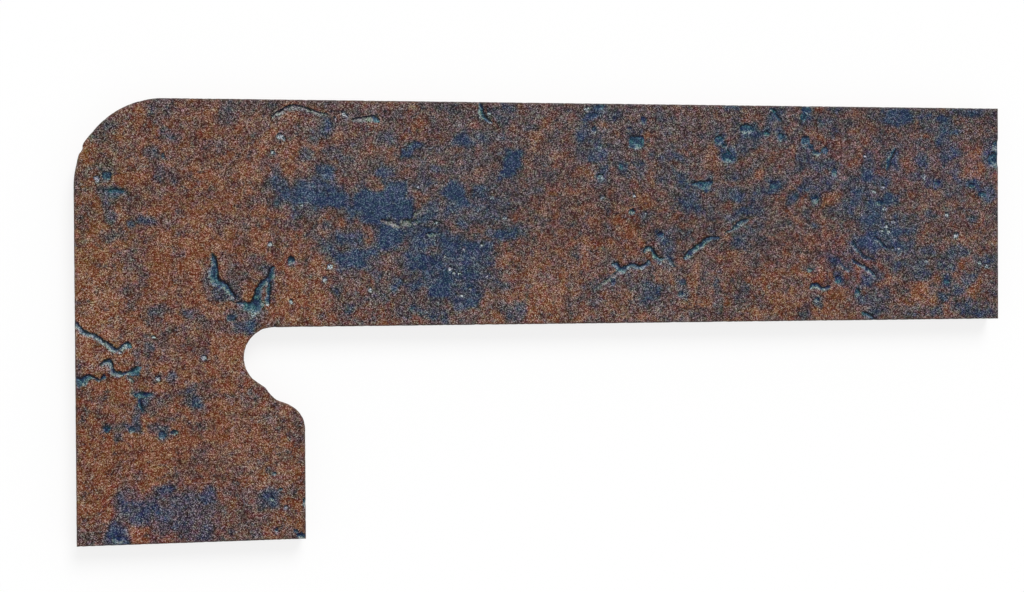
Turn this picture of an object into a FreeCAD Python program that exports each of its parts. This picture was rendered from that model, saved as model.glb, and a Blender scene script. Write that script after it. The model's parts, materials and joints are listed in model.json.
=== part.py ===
# Clinker skirting tile for the side of a stair, right-hand wall pattern.
#
# One extruded and fired slab, cut to an L. The long band runs above a tread, the leg runs down
# beside the riser, and the cut-out between them is the outline of the tread's rounded nosing.
# The tile lies on its keyed back with the decorated face up. Frame, in millimetres: the origin is
# the centre of the tile's rectangle on the plane that the ribs of the back rest on, +X runs along
# the band away from the leg, +Y from the foot of the leg to the top edge, +Z out of the face.

import FreeCAD, Part
import math
import os

# Driving sizes of the slab
tile_length = 400.0      # outer edge of the leg to the butt end of the band
tile_height = 180.0      # foot of the leg to the top edge of the band
body_thickness = 11.0    # face to the top of the ribs on the back
band_height = 93.0       # top edge to the edge that stands on the tread
leg_width = 92.0         # outer edge to the edge that meets the riser
crown_radius = 36.0      # rounded outer corner above the leg
face_arris_radius = 0.8  # softened edge all round the face

# Cut-out for the nosing, from the tread line down to the riser line
nose_radius = 12.2       # round front of the nosing
nose_projection = 24.8   # how far the nosing stands out from the riser line
lip_angle = 35.0         # fall of the straight lip under the nosing, in degrees
lip_run = 4.5            # length of that lip
cove_sagitta = 0.4       # hollow of the shallow cove between the lip and the shoulder
shoulder_radius = 10.8   # rounded inner corner of the leg
shoulder_drop = 41.8     # tread line to where that corner runs into the riser edge
shoulder_pitch = 21.0    # fall of the short flat above the rounded corner, in degrees
shoulder_flat = 4.2      # length of that flat

# Keyed back: grooves along the way the slab was extruded, a little wider inside than at the mouth
groove_pitch = 16.0      # from one groove to the next
groove_mouth = 7.0       # width at the back plane
groove_undercut = 0.5    # how much wider the groove is at its floor, on each side
groove_depth = 1.5       # back plane to the floor of the groove
groove_margin = 12.0     # plain rib left along the top edge and along the foot

node_name = "skirting_tile"

# Lines of the L
left_x = -tile_length / 2
right_x = tile_length / 2
foot_y = -tile_height / 2
top_y = tile_height / 2
tread_y = top_y - band_height    # the edge that stands on the tread
riser_x = left_x + leg_width     # the edge that meets the riser


def on_circle(centre, radius, degrees):
    """The point of a circle in the XY plane at that angle from +X."""
    angle = math.radians(degrees)
    return centre + radius * FreeCAD.Vector(math.cos(angle), math.sin(angle), 0)


def falling(degrees):
    """Unit direction that runs to +X and falls by that angle."""
    angle = math.radians(degrees)
    return FreeCAD.Vector(math.cos(angle), -math.sin(angle), 0)


def line(start, end):
    """Straight edge between two points."""
    return Part.LineSegment(start, end).toShape()


def arc(centre, radius, from_degrees, to_degrees):
    """Circular edge round a centre, from one angle to the other."""
    middle = (from_degrees + to_degrees) / 2
    ends = [on_circle(centre, radius, turn) for turn in (from_degrees, middle, to_degrees)]
    return Part.Arc(*ends).toShape()


def cove(start, end, sagitta):
    """Shallow circular edge that bows by the sagitta to the right of its way, into the tile."""
    chord = end - start
    across = FreeCAD.Vector(chord.y, -chord.x, 0).normalize()
    middle = (start + end) / 2 + sagitta * across
    return Part.Arc(start, middle, end).toShape()


def nosing_edges():
    """Edges of the cut-out, from the tread line to the riser line, and their first and last points."""
    nose_centre = FreeCAD.Vector(riser_x - nose_projection + nose_radius, tread_y - nose_radius, 0)
    nose_end_angle = 270 - lip_angle
    nose_start = on_circle(nose_centre, nose_radius, 90)
    nose_end = on_circle(nose_centre, nose_radius, nose_end_angle)
    lip_end = nose_end + lip_run * falling(lip_angle)

    shoulder_centre = FreeCAD.Vector(riser_x - shoulder_radius, tread_y - shoulder_drop, 0)
    shoulder_top_angle = 90 - shoulder_pitch
    shoulder_top = on_circle(shoulder_centre, shoulder_radius, shoulder_top_angle)
    shoulder_end = on_circle(shoulder_centre, shoulder_radius, 0)
    flat_start = shoulder_top - shoulder_flat * falling(shoulder_pitch)

    edges = [
        arc(nose_centre, nose_radius, 90, nose_end_angle),
        line(nose_end, lip_end),
        cove(lip_end, flat_start, cove_sagitta),
        line(flat_start, shoulder_top),
        arc(shoulder_centre, shoulder_radius, shoulder_top_angle, 0),
    ]
    return edges, nose_start, shoulder_end


def outline_face():
    """The L as a flat face on the back plane."""
    crown_centre = FreeCAD.Vector(left_x + crown_radius, top_y - crown_radius, 0)
    crown_start = on_circle(crown_centre, crown_radius, 180)
    crown_end = on_circle(crown_centre, crown_radius, 90)
    foot_left = FreeCAD.Vector(left_x, foot_y, 0)
    foot_right = FreeCAD.Vector(riser_x, foot_y, 0)
    butt_top = FreeCAD.Vector(right_x, top_y, 0)
    butt_bottom = FreeCAD.Vector(right_x, tread_y, 0)
    nosing, nose_start, shoulder_end = nosing_edges()
    edges = [
        line(foot_left, crown_start),
        arc(crown_centre, crown_radius, 180, 90),
        line(crown_end, butt_top),
        line(butt_top, butt_bottom),
        line(butt_bottom, nose_start),
        *nosing,
        line(shoulder_end, foot_right),
        line(foot_right, foot_left),
    ]
    return Part.Face(Part.Wire(edges))


def soften_face_edge(slab):
    """The slab with its face edge rounded over, all the way round."""
    tolerance = 1e-6
    rim = [edge for edge in slab.Edges if edge.BoundBox.ZMin > body_thickness - tolerance]
    return slab.makeFillet(face_arris_radius, rim)


def groove_lines():
    """Heights along Y of the groove centres; the middle rib lies on the slab's centre line."""
    first = groove_pitch / 2
    last = tile_height / 2 - groove_margin - groove_mouth / 2
    count = math.floor((last - first) / groove_pitch) + 1
    above = [first + step * groove_pitch for step in range(count)]
    return sorted([-height for height in above] + above)


def groove_cutter(centre_y):
    """One dovetail groove as a bar that runs past both ends of the slab."""
    overrun = 1.0
    mouth = groove_mouth / 2
    floor = mouth + groove_undercut
    lower = -groove_depth
    start_x = left_x - overrun
    one_side = [(mouth, lower), (mouth, 0), (floor, groove_depth)]
    other_side = [(-across, up) for across, up in reversed(one_side)]
    corners = [FreeCAD.Vector(start_x, centre_y + across, up) for across, up in one_side + other_side]
    face = Part.Face(Part.makePolygon(corners + corners[:1]))
    return face.extrude(FreeCAD.Vector(tile_length + 2 * overrun, 0, 0))


def skirting_tile():
    """The whole tile: the extruded L, its face edge softened, its back grooved."""
    slab = outline_face().extrude(FreeCAD.Vector(0, 0, body_thickness))
    slab = soften_face_edge(slab)
    return slab.cut(Part.makeCompound([groove_cutter(height) for height in groove_lines()]))


os.makedirs("parts", exist_ok=True)
tile = skirting_tile()
solid = tile.Solids[0]
solid.exportStep(f"parts/{node_name}.step")
print(node_name, "solids", len(tile.Solids), "valid", solid.isValid(), "volume cm3", round(solid.Volume / 1000, 2))
print("grooves at", groove_lines())
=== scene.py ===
# %% [markdown]
# # A clinker skirting tile for a stair
#
# The tile is one piece of extruded, fired clay, cut to an L: a long band that runs above a tread
# and a short leg that runs down beside its riser. Its face carries a rust-brown glaze with blue
# blooms, crawled fissures and small craters. Its back is keyed with dovetail grooves.
#
# This lesson builds it in Blender round a part that was already made in CAD. The part gives the
# sizes and the place, and nothing is moved or resized here. First we load it and keep its box.

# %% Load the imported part
import json

import bpy
import numpy as np
from mathutils import Matrix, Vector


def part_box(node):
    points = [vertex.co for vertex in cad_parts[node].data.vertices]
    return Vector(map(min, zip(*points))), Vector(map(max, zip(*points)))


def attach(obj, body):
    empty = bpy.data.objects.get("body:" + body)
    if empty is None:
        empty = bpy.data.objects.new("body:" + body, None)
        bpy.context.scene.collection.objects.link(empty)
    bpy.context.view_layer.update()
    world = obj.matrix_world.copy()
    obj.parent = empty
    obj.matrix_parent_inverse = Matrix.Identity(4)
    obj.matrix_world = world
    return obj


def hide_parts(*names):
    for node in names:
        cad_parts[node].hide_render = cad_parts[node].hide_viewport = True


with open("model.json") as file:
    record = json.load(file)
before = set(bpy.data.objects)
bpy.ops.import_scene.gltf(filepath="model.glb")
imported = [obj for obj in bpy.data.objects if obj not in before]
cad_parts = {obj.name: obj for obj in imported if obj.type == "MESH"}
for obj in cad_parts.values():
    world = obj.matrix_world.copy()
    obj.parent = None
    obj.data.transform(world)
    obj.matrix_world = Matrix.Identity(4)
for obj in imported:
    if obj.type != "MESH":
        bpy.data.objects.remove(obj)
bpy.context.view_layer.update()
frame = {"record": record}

# %% [markdown]
# Blender works in metres, but a tile is easier to think about in millimetres. So every size
# below is in millimetres, and one factor turns it into metres when a mesh is written. The
# straight edges of the L are read from the part's own box and mounts, so they can't drift
# from it. The curved cut-out has no mount, so its radii are written out once, here.

# %% Sizes of the tile
mm = 0.001
part_name = "skirting_tile"
(left_x, foot_y, back_z), (right_x, top_y, face_z) = [np.array(corner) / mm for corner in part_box(part_name)]
mounts = {mount["name"]: np.array(mount["pos_m"]) / mm for mount in frame["record"]["mounts"]}
tread_y = mounts["tread_edge"][1]
riser_x = mounts["riser_edge"][0]

crown_radius = 36.0      # rounded outer corner above the leg
nose_radius = 12.2       # round front of the cut-out for the tread's nosing
nose_projection = 24.8   # how far the nosing stands out from the riser
lip_angle = 35.0         # fall of the straight lip under the nosing, in degrees
lip_run = 4.5            # length of that lip
cove_sagitta = 0.4       # hollow of the cove between the lip and the shoulder
shoulder_radius = 10.8   # rounded inner corner of the leg
shoulder_drop = 41.8     # tread edge to where that corner meets the riser edge
shoulder_pitch = 21.0    # fall of the short flat above it, in degrees
shoulder_flat = 4.2      # length of that flat
arris_radius = 0.8       # softened edge round the face
print("length, height, thickness:", right_x - left_x, top_y - foot_y, face_z - back_z)

# %% [markdown]
# The camera comes early, because the marks on the face are placed by where they appear through
# it. It looks almost straight down at the tile, from above the leg, with a lens of about 70 mm.
# We build its axes by hand: forward points at the target, up is the part of +Y that is square
# to forward, and a small roll turns both.

# %% Camera
camera_place = np.array([-203.66, 22.14, 829.2])
camera_target = np.array([-20.96, 8.94, face_z])
camera_roll = np.radians(0.31)
lens, sensor_width = 70.36, 36.0
photo_width, photo_height = 1024, 592

forward = (camera_target - camera_place) / np.linalg.norm(camera_target - camera_place)
level_up = np.array([0, 1, 0]) - forward[1] * forward
level_up /= np.linalg.norm(level_up)
level_right = np.cross(forward, level_up)
camera_up = np.cos(camera_roll) * level_up + np.sin(camera_roll) * level_right
camera_right = np.cross(forward, camera_up)

camera = bpy.data.objects.new("camera", bpy.data.cameras.new("camera"))
camera.data.lens = lens
camera.data.sensor_width = sensor_width
turn_and_place = np.eye(4)
turn_and_place[:3, :3] = np.column_stack([camera_right, camera_up, -forward])
turn_and_place[:3, 3] = camera_place * mm
camera.matrix_world = Matrix(turn_and_place.tolist())
bpy.context.scene.collection.objects.link(camera)
bpy.context.scene.camera = camera
print("camera looks along", forward.round(4), "with up", camera_up.round(4))

# %% [markdown]
# A mark that we can point at in the picture has a place on the tile too: the ray through its
# pixel meets the plane of the face there. With that one function, every fissure, crater and
# bloom below can be written as a few pixels, the way we would point at them with a finger.

# %% From a pixel to a place on the face
focal_pixels = lens / sensor_width * photo_width


def from_photo(pixels):
    """Places on the face, in mm, of pixels given as (across, down) rows.

    The ray is forward plus right and up, each by the pixel's distance from the middle of the
    picture over the focal length. It is stretched until it has come down to the face.
    """
    across, down = np.moveaxis(np.asarray(pixels, float), -1, 0)
    to_right = ((across - photo_width / 2) / focal_pixels)[..., None] * camera_right
    to_top = ((photo_height / 2 - down) / focal_pixels)[..., None] * camera_up
    ray = forward + to_right + to_top
    reach = (face_z - camera_place[2]) / ray[..., 2:]
    return (camera_place + reach * ray)[..., :2]


print("picture's middle on the face:", from_photo([photo_width / 2, photo_height / 2]).round(2))

# %% [markdown]
# The outline is a chain of straight and round runs, with the tile always on the right-hand
# side of the way. Each run can do two things: give the point at a share of its length, and
# give its nearest point to any other point, with the direction that leads into the tile.
# Keeping the true lines and circles, and not a polygon, lets us measure distances exactly.

# %% Runs of an outline
class Straight:
    """A straight run from a start to an end: start + share * way."""

    def __init__(self, start, end):
        self.start = np.array(start, float)
        self.way = np.array(end, float) - self.start
        self.length = np.linalg.norm(self.way)

    def at(self, share):
        return self.start + share[..., None] * self.way

    def nearest(self, points):
        """The foot of the perpendicular, held between both ends, and the way into the tile."""
        share = np.clip((points - self.start) @ self.way / self.length**2, 0, 1)
        inward = np.array([self.way[1], -self.way[0]]) / self.length
        return self.at(share), np.broadcast_to(inward, points.shape)


class Round:
    """A round run: centre + radius * (cos, sin) of an angle that turns evenly."""

    def __init__(self, centre, radius, from_degrees, to_degrees):
        self.centre = np.array(centre, float)
        self.radius = radius
        self.first, self.last = np.radians([from_degrees, to_degrees])
        self.length = radius * abs(self.last - self.first)

    def at(self, share):
        angle = self.first + share * (self.last - self.first)
        return self.centre + self.radius * np.stack([np.cos(angle), np.sin(angle)], -1)

    def nearest(self, points):
        """The point of the arc in the same direction from the centre, held between both ends."""
        away = points - self.centre
        middle, half = (self.first + self.last) / 2, abs(self.last - self.first) / 2
        from_middle = np.arctan2(away[..., 1], away[..., 0]) - middle
        from_middle = (from_middle + np.pi) % (2 * np.pi) - np.pi
        angle = middle + np.clip(from_middle, -half, half)
        outward = np.stack([np.cos(angle), np.sin(angle)], -1)
        return self.centre + self.radius * outward, outward * np.sign(self.last - self.first)


def walk(runs, distances):
    """Points at those distances along a chain of runs; each run fills the distances it spans."""
    points = np.zeros((len(distances), 2))
    passed = 0.0
    for run in runs:
        here = distances >= passed - 1e-9
        points[here] = run.at(np.clip((distances[here] - passed) / run.length, 0, 1))
        passed += run.length
    return points


def chain_length(runs):
    """The lengths of all the runs together."""
    return sum(run.length for run in runs)


# %% [markdown]
# Now the L itself. The outer side climbs the leg, turns over the crown and runs along the top.
# The inner side comes back under the band, round the cut-out for the tread's nosing, over the
# shoulder and down the riser edge. Every corner is worked out from the sizes above: a circle
# and an angle give where a round ends, and the next run starts there.

# %% Outline of the L
def on_circle(centre, radius, degrees):
    """The point of a circle at that angle from +X."""
    return np.array(centre) + radius * np.array([np.cos(np.radians(degrees)), np.sin(np.radians(degrees))])


def falling(degrees):
    """A step of 1 mm to the right that falls by that angle."""
    return np.array([np.cos(np.radians(degrees)), -np.sin(np.radians(degrees))])


def hollow(start, end, sagitta):
    """A shallow round run that bows to the right of its way, into the tile, by its sagitta."""
    chord = end - start
    span = np.linalg.norm(chord)
    radius = (span**2 / 4 + sagitta**2) / (2 * sagitta)
    to_left = np.array([-chord[1], chord[0]]) / span
    centre = (start + end) / 2 + (radius - sagitta) * to_left
    first, last = [np.degrees(np.arctan2(*(point - centre)[::-1])) for point in (start, end)]
    return Round(centre, radius, first, last)


crown_centre = (left_x + crown_radius, top_y - crown_radius)
nose_centre = (riser_x - nose_projection + nose_radius, tread_y - nose_radius)
nose_end_angle = 270 - lip_angle
nose_end = on_circle(nose_centre, nose_radius, nose_end_angle)
lip_end = nose_end + lip_run * falling(lip_angle)
shoulder_centre = (riser_x - shoulder_radius, tread_y - shoulder_drop)
shoulder_top = on_circle(shoulder_centre, shoulder_radius, 90 - shoulder_pitch)
flat_start = shoulder_top - shoulder_flat * falling(shoulder_pitch)

outer_side = [
    Straight((left_x, foot_y), (left_x, crown_centre[1])),
    Round(crown_centre, crown_radius, 180, 90),
    Straight((crown_centre[0], top_y), (right_x, top_y)),
]
butt_end = [Straight((right_x, top_y), (right_x, tread_y))]
nose_round = Round(nose_centre, nose_radius, 90, nose_end_angle)
riser_edge = Straight((riser_x, shoulder_centre[1]), (riser_x, foot_y))
inner_side = [
    Straight((right_x, tread_y), (nose_centre[0], tread_y)),
    nose_round,
    Straight(nose_end, lip_end),
    hollow(lip_end, flat_start, cove_sagitta),
    Straight(flat_start, shoulder_top),
    Round(shoulder_centre, shoulder_radius, 90 - shoulder_pitch, 0),
    riser_edge,
]
foot_end = [Straight((riser_x, foot_y), (left_x, foot_y))]
outline = outer_side + butt_end + inner_side + foot_end
print("way round the tile, mm:", round(chain_length(outline), 1))

# %% [markdown]
# How should a mesh cover an L with a bite out of it? We treat it as a bent strip. One set of
# grid lines crosses the strip from the outer side to the inner side, the other set runs along
# it, round the corner. A point of the face is then a function of two parameters: how far along
# the strip, and what share of the way across. Five close lines along each edge draw its arris.

# %% Stations along and across the strip
cell = 0.88
edge_lines = np.array([0.0, 0.06, 0.2, 0.42, arris_radius])


def stations(length):
    """Distances from 0 to a length, one cell apart, with the edge lines at both ends."""
    count = round((length - 2 * arris_radius) / cell)
    middle = np.linspace(arris_radius, length - arris_radius, count + 1)
    return np.concatenate([edge_lines[:-1], middle, length - edge_lines[-2::-1]])


outer_length, inner_length = chain_length(outer_side), chain_length(inner_side)
along_outer = stations(outer_length)
band_height = top_y - tread_y
across_share = stations(band_height) / band_height
print("lines across and along:", len(along_outer), len(across_share))

# %% [markdown]
# Opposite points have to be matched with care: the outer side is longer, because it goes round
# the outside of the corner. We match five places, foot to foot, the start of the shoulder,
# both ends of the nose, and the butt ends, and let the rest run evenly between. Then a moving
# average softens the changes of pace, so cells grow and shrink gradually.

# %% Match the inner side to the outer side
turn_height = -10.0      # height on the leg's outer edge that faces the end of the nose
top_over_nose = chain_length(outer_side[:2]) + nose_centre[0] - crown_centre[0]
nose_start_inner = inner_length - inner_side[0].length
matched_outer = [0, riser_edge.length, turn_height - foot_y, top_over_nose, outer_length]
matched_inner = [0, riser_edge.length, nose_start_inner - nose_round.length, nose_start_inner, inner_length]

pace_step = 0.5
softening = 61           # how many of those steps the moving average spans
even_outer = np.linspace(0, outer_length, round(outer_length / pace_step))
even_inner = np.interp(even_outer, matched_outer, matched_inner)
padded = np.pad(even_inner, softening // 2, mode="reflect", reflect_type="odd")
even_inner = np.convolve(padded, np.ones(softening) / softening, mode="valid")
along_inner = np.interp(along_outer, even_outer, even_inner)

outer_points = walk(outer_side, along_outer)
inner_points = walk(inner_side, inner_length - along_inner)
face_points = outer_points[:, None] + across_share[:, None] * (inner_points - outer_points)[:, None]
print("face grid:", face_points.shape[:2])

# %% [markdown]
# A folded cell would turn its normal over and show as a black speck, so we measure every cell.
# The two diagonals of a cell, crossed, give twice its area, and a negative area is a fold.

# %% Check the grid for folds
def cell_areas(points):
    """Half the cross product of both diagonals of each cell, positive if the cell isn't folded."""
    one = points[1:, 1:] - points[:-1, :-1]
    other = points[1:, :-1] - points[:-1, 1:]
    return (one[..., 0] * other[..., 1] - one[..., 1] * other[..., 0]) / 2


def report_cells(when, points):
    """Prints the smallest and the largest cell, and how many are folded."""
    areas = cell_areas(points)
    smallest, largest = areas.min().round(4), areas.max().round(3)
    print(when, "cells of", smallest, "to", largest, "mm2, folded:", (areas <= 0).sum())


report_cells("evenly laid:", face_points)

# %% [markdown]
# Many finishes below depend on how near a point is to the edge. The distance to the outline is
# the smallest of its distances to the runs, and with it comes the way into the tile.

# %% Distance from the edge
def from_edge(points):
    """Distance of each point from the outline, and the direction into the tile at its nearest run."""
    distance = np.full(points.shape[:-1], np.inf)
    inward = np.zeros(points.shape)
    for run in outline:
        near, into = run.nearest(points)
        gap = np.linalg.norm(points - near, axis=-1)
        closer = gap < distance
        distance = np.where(closer, gap, distance)
        inward = np.where(closer[..., None], into, inward)
    return distance, inward


def ease(value, low=0.0, high=1.0):
    """A soft step: 0 below low, 1 above high, and 3t^2 - 2t^3 between."""
    share = np.clip((value - low) / (high - low), 0, 1)
    return share * share * (3 - 2 * share)


edge_distance, edge_inward = from_edge(face_points)
print("deepest point of the face from an edge:", edge_distance.max().round(1))

# %% [markdown]
# Fired clay is never smooth, so we need randomness that comes out the same on every run. This
# is gradient noise: each corner of a square lattice has a random slope, and a point takes a
# soft blend of what the four slopes round it say. The seed picks one pattern of slopes. Layers
# of several sizes add up to something like stone, and two noises together make a random step.

# %% Noise
lattice = 512            # corners of the lattice each way, before it repeats
full_height = 1.6        # brings the blend of slopes to about -1 to 1


def noise(points, size, seed):
    """Smooth random heights, about -1 to 1, with bumps of about that size in mm."""
    angle = np.random.default_rng(seed).uniform(0, 2 * np.pi, (lattice, lattice))
    slopes = np.stack([np.cos(angle), np.sin(angle)], -1)
    corner = np.floor(points / size).astype(int)
    inside = points / size - corner
    weight = inside**3 * (inside * (inside * 6 - 15) + 10)
    height = 0.0
    for right in (0, 1):
        for up in (0, 1):
            slope = slopes[(corner[..., 0] + right) % lattice, (corner[..., 1] + up) % lattice]
            share_x = weight[..., 0] if right else 1 - weight[..., 0]
            share_y = weight[..., 1] if up else 1 - weight[..., 1]
            height = height + share_x * share_y * (slope * (inside - (right, up))).sum(-1)
    return full_height * height


def layered(points, layers):
    """Noises added up; each layer is its weight, its size in mm and its seed."""
    return sum(weight * noise(points, size, seed) for weight, size, seed in layers)


def random_step(points, size, seed):
    """A step for each point: one noise for X and, with the next seed, another for Y."""
    return np.stack([noise(points, size, seed), noise(points, size, seed + 1)], -1)


print("noise spread:", noise(face_points, 3.0, 1).std().round(3))

# %% [markdown]
# The glaze crawled while it was molten and left fissures: on one side the skin broke off
# steeply, on the other it sagged into a gentle ramp, and the floor between holds a pool of
# greenish glass. Each one is written as the pixels that its steep wall follows, walked so that
# the fissure lies on the right-hand side, with its width there in millimetres. Paleness tells
# how much of it the pale ramp covers: thin glaze, with a painted highlight where the ramp faces
# the light. A smooth curve joins the few marks.

# %% Fissures, by the pixels of their steep wall
fissures = {
    "forked crack, left arm": {"depth": 0.85, "pale": 0.3, "marks": [
        (213.5, 253.5, 1.0), (216.5, 258, 2.0), (218, 264, 2.7), (218.5, 270, 3.2), (218.5, 275, 3.8),
        (220.5, 279.5, 3.7), (224.5, 281.5, 2.6), (228.5, 283.5, 2.6), (231, 287.5, 2.6), (233.5, 291, 2.3),
        (235.3, 294, 1.8), (236.5, 297, 1.1),
    ]},
    "forked crack, right arm": {"depth": 0.85, "pale": 0.26, "marks": [
        (237, 301.5, 1.1), (242, 301.2, 2.0), (247, 302, 3.4), (251, 301.5, 5.0), (253, 297, 3.4),
        (254.5, 292, 2.6), (257, 286, 2.2), (260, 281.5, 2.2), (264.5, 278.8, 2.4), (267.5, 274.5, 2.4),
        (269, 269.5, 2.4), (271, 266.5, 1.8), (273.5, 266, 1.1),
    ]},
    "forked crack, right tine": {"depth": 0.6, "pale": 0.25, "marks": [
        (271.3, 280, 1.5), (271.6, 285, 1.9), (271.4, 291, 2.1), (270.8, 297, 2.0), (269.8, 303, 1.4),
    ]},
    "leg crack, upper": {"depth": 0.7, "pale": 0.55, "marks": [
        (73, 318, 2.4), (79, 323.5, 2.3), (84, 329, 2.0), (88.5, 332, 1.8), (94, 333.3, 1.7),
        (98.5, 335.3, 1.6), (103, 339.5, 1.5), (108, 342, 1.8), (113, 345, 2.1), (117, 347.8, 1.8),
        (120.5, 345.3, 1.8), (124, 342, 2.3),
    ]},
    "leg crack, upper end": {"depth": 0.6, "pale": 0.1, "marks": [
        (123.5, 342.3, 2.0), (128, 340.8, 3.0), (131.5, 343.5, 2.4),
    ]},
    "leg crack, curl": {"depth": 0.7, "pale": 0.5, "marks": [
        (100, 364.5, 0.9), (103, 361, 1.8), (107, 358.8, 2.7), (111, 359, 3.0), (113.3, 363, 2.0),
        (114.3, 367.5, 1.8), (116.5, 370.7, 1.9), (121.5, 371.3, 1.7), (126, 371.4, 1.7), (130, 370, 2.4),
    ]},
    "leg crack, curl end": {"depth": 0.65, "pale": 0.12, "marks": [
        (129, 370.5, 2.4), (133, 368, 3.4), (136.3, 366, 2.6),
    ]},
    "leg crack, tail": {"depth": 0.35, "pale": 0.8, "marks": [
        (128.5, 375.5, 1.2), (131.5, 377.8, 1.1), (135, 381, 0.8),
    ]},
    "leg crack, lower": {"depth": 0.8, "pale": 0.2, "marks": [
        (73, 373.5, 4.3), (78, 376.5, 3.8), (80.8, 377.5, 3.1), (83.3, 376, 2.6), (87, 374.8, 2.2),
        (92, 375, 1.9), (96, 377.3, 0.9), (99.7, 378.5, 0.8), (101.8, 375.5, 2.0), (103.8, 373.3, 2.7),
        (105.5, 374.5, 2.0),
    ]},
    "leg dash": {"depth": 0.3, "pale": 0.0, "marks": [
        (135.5, 393, 1.6), (141, 391.8, 2.0), (147, 392.2, 1.7), (152.5, 392.8, 1.0),
    ]},
    "leg dash, down": {"depth": 0.35, "pale": 0.1, "marks": [
        (141.3, 398, 1.4), (142.5, 403, 1.6), (143.8, 408, 1.4), (144.2, 411.5, 0.9),
    ]},
    "top crack": {"depth": 0.5, "pale": 0.85, "marks": [
        (271, 114.5, 1.0), (276, 112, 1.3), (281, 109.3, 1.5), (286, 106, 1.8), (291, 104.2, 2.1),
        (297, 104.2, 1.8), (303, 106, 1.4), (309, 108, 1.2), (314, 110, 1.4), (320, 111.7, 1.5),
        (327, 113, 0.9),
    ]},
    "top crack, second": {"depth": 0.45, "pale": 0.85, "marks": [
        (353, 118.1, 1.3), (359, 117, 1.8), (366, 115.8, 1.9), (372, 115.1, 1.9),
    ]},
    "top crack, second end": {"depth": 0.45, "pale": 0.0, "marks": [
        (371, 115.3, 1.5), (376, 115.4, 2.4), (379.5, 118.5, 2.0),
    ]},
    "band crack, lead-in": {"depth": 0.25, "pale": 0.85, "marks": [
        (594, 288.5, 0.9), (600, 283.5, 1.1), (606, 279.5, 1.3), (611, 275, 1.9), (616, 271.7, 2.1),
        (621, 270, 1.5),
    ]},
    "band crack, first": {"depth": 0.65, "pale": 0.4, "marks": [
        (611.5, 263.5, 1.5), (615, 261.3, 2.8), (618.8, 262.3, 3.0), (621.5, 266.6, 2.4), (626, 264.5, 2.7),
        (631, 262.2, 2.3), (636, 263.5, 1.9), (640, 265.3, 1.7), (644, 263.5, 1.8), (647.8, 260, 1.8),
    ]},
    "band crack, second": {"depth": 0.6, "pale": 0.3, "marks": [
        (642.5, 250.5, 1.8), (645, 246.7, 2.5), (649, 245, 2.8), (652.5, 246.3, 2.3), (655.5, 250.5, 1.9),
        (658, 255, 1.9), (660.5, 257.3, 2.0), (664.5, 256.8, 1.5),
    ]},
    "band crack, spur": {"depth": 0.2, "pale": 0.3, "marks": [
        (668, 254, 1.2), (671.5, 257.5, 1.6), (673.5, 262, 1.4), (676, 267, 0.9),
    ]},
    "band crack, third": {"depth": 0.5, "pale": 0.3, "marks": [
        (683.5, 257, 1.8), (688, 250.5, 2.4), (693, 247, 2.1), (698, 243.5, 2.2), (703, 239.5, 2.2),
        (708, 236.5, 2.2), (714, 235.5, 2.0), (719.5, 236, 1.6),
    ]},
    "band crack, fourth": {"depth": 0.35, "pale": 0.4, "marks": [
        (724, 233, 1.0), (728, 230, 1.1), (733, 227, 1.5), (738, 221, 2.5), (743, 218.8, 2.0),
        (748, 218.5, 1.0),
    ]},
    "butt cluster, long arc": {"depth": 0.26, "pale": 0.3, "marks": [
        (853.5, 240.5, 1.4), (856.5, 245, 1.7), (859.5, 249, 1.7), (864, 253.5, 1.7), (868, 256.7, 1.5),
        (874, 258, 1.1),
    ]},
    "butt cluster, middle cut": {"depth": 0.28, "pale": 0.1, "marks": [
        (875, 236, 1.2), (880, 238.5, 1.5), (884, 243, 1.5), (887.5, 247.5, 1.1),
    ]},
    "butt cluster, low arc": {"depth": 0.35, "pale": 0.3, "marks": [
        (853, 258.5, 1.2), (858, 261.8, 1.5), (864, 264.5, 1.5), (868, 266.5, 1.9), (872, 269.5, 2.5),
        (876, 274, 1.9),
    ]},
    "butt cluster, wave": {"depth": 0.45, "pale": 0.4, "marks": [
        (808.5, 287.5, 1.3), (811, 283.5, 2.1), (815, 282.3, 2.4), (819, 283.6, 1.9), (822.5, 286.6, 1.4),
        (826, 286, 1.6), (829.5, 284.5, 1.0),
    ]},
    "butt cluster, slash": {"depth": 0.2, "pale": 0.3, "marks": [
        (841, 262, 1.1), (845.5, 266, 1.4), (850, 270.5, 1.0),
    ]},
    "butt cluster, foot slash": {"depth": 0.5, "pale": 0.15, "marks": [
        (863.5, 311, 1.5), (868, 312, 2.0), (873, 315.5, 2.0), (877, 319.5, 1.4),
    ]},
    "top arc": {"depth": 0.35, "pale": 0.15, "marks": [
        (772, 107, 1.5), (776.5, 110, 1.9), (778.5, 114.5, 1.9), (782, 119, 1.5),
    ]},
    "top flat": {"depth": 0.5, "pale": 0.15, "marks": [
        (691.5, 182.3, 1.0), (696, 181, 2.4), (700, 180.6, 3.2), (704, 180.5, 4.6), (708, 179.5, 4.2),
        (712, 179.8, 2.0),
    ]},
    "top tick": {"depth": 0.45, "pale": 0.3, "marks": [
        (482, 103, 1.5), (484.5, 108, 2.1), (484.5, 113, 2.3), (487.5, 117, 2.1), (492, 121, 1.1),
    ]},
    "top drop": {"depth": 0.45, "pale": 0.2, "marks": [
        (897, 149, 1.1), (895, 154, 1.9), (892.5, 159, 2.2), (891.5, 164, 2.2), (889.5, 169.5, 1.5),
    ]},
    "middle streak": {"depth": 0.4, "pale": 0.9, "marks": [
        (382, 218.5, 1.4), (388, 218.8, 2.2), (393.5, 220.8, 2.4), (400, 225.3, 1.6),
    ]},
    "middle hook": {"depth": 0.36, "pale": 0.88, "marks": [
        (410.5, 220, 1.3), (412, 215, 1.9), (415, 211, 2.0), (420, 209, 1.2),
    ]},
}


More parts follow.
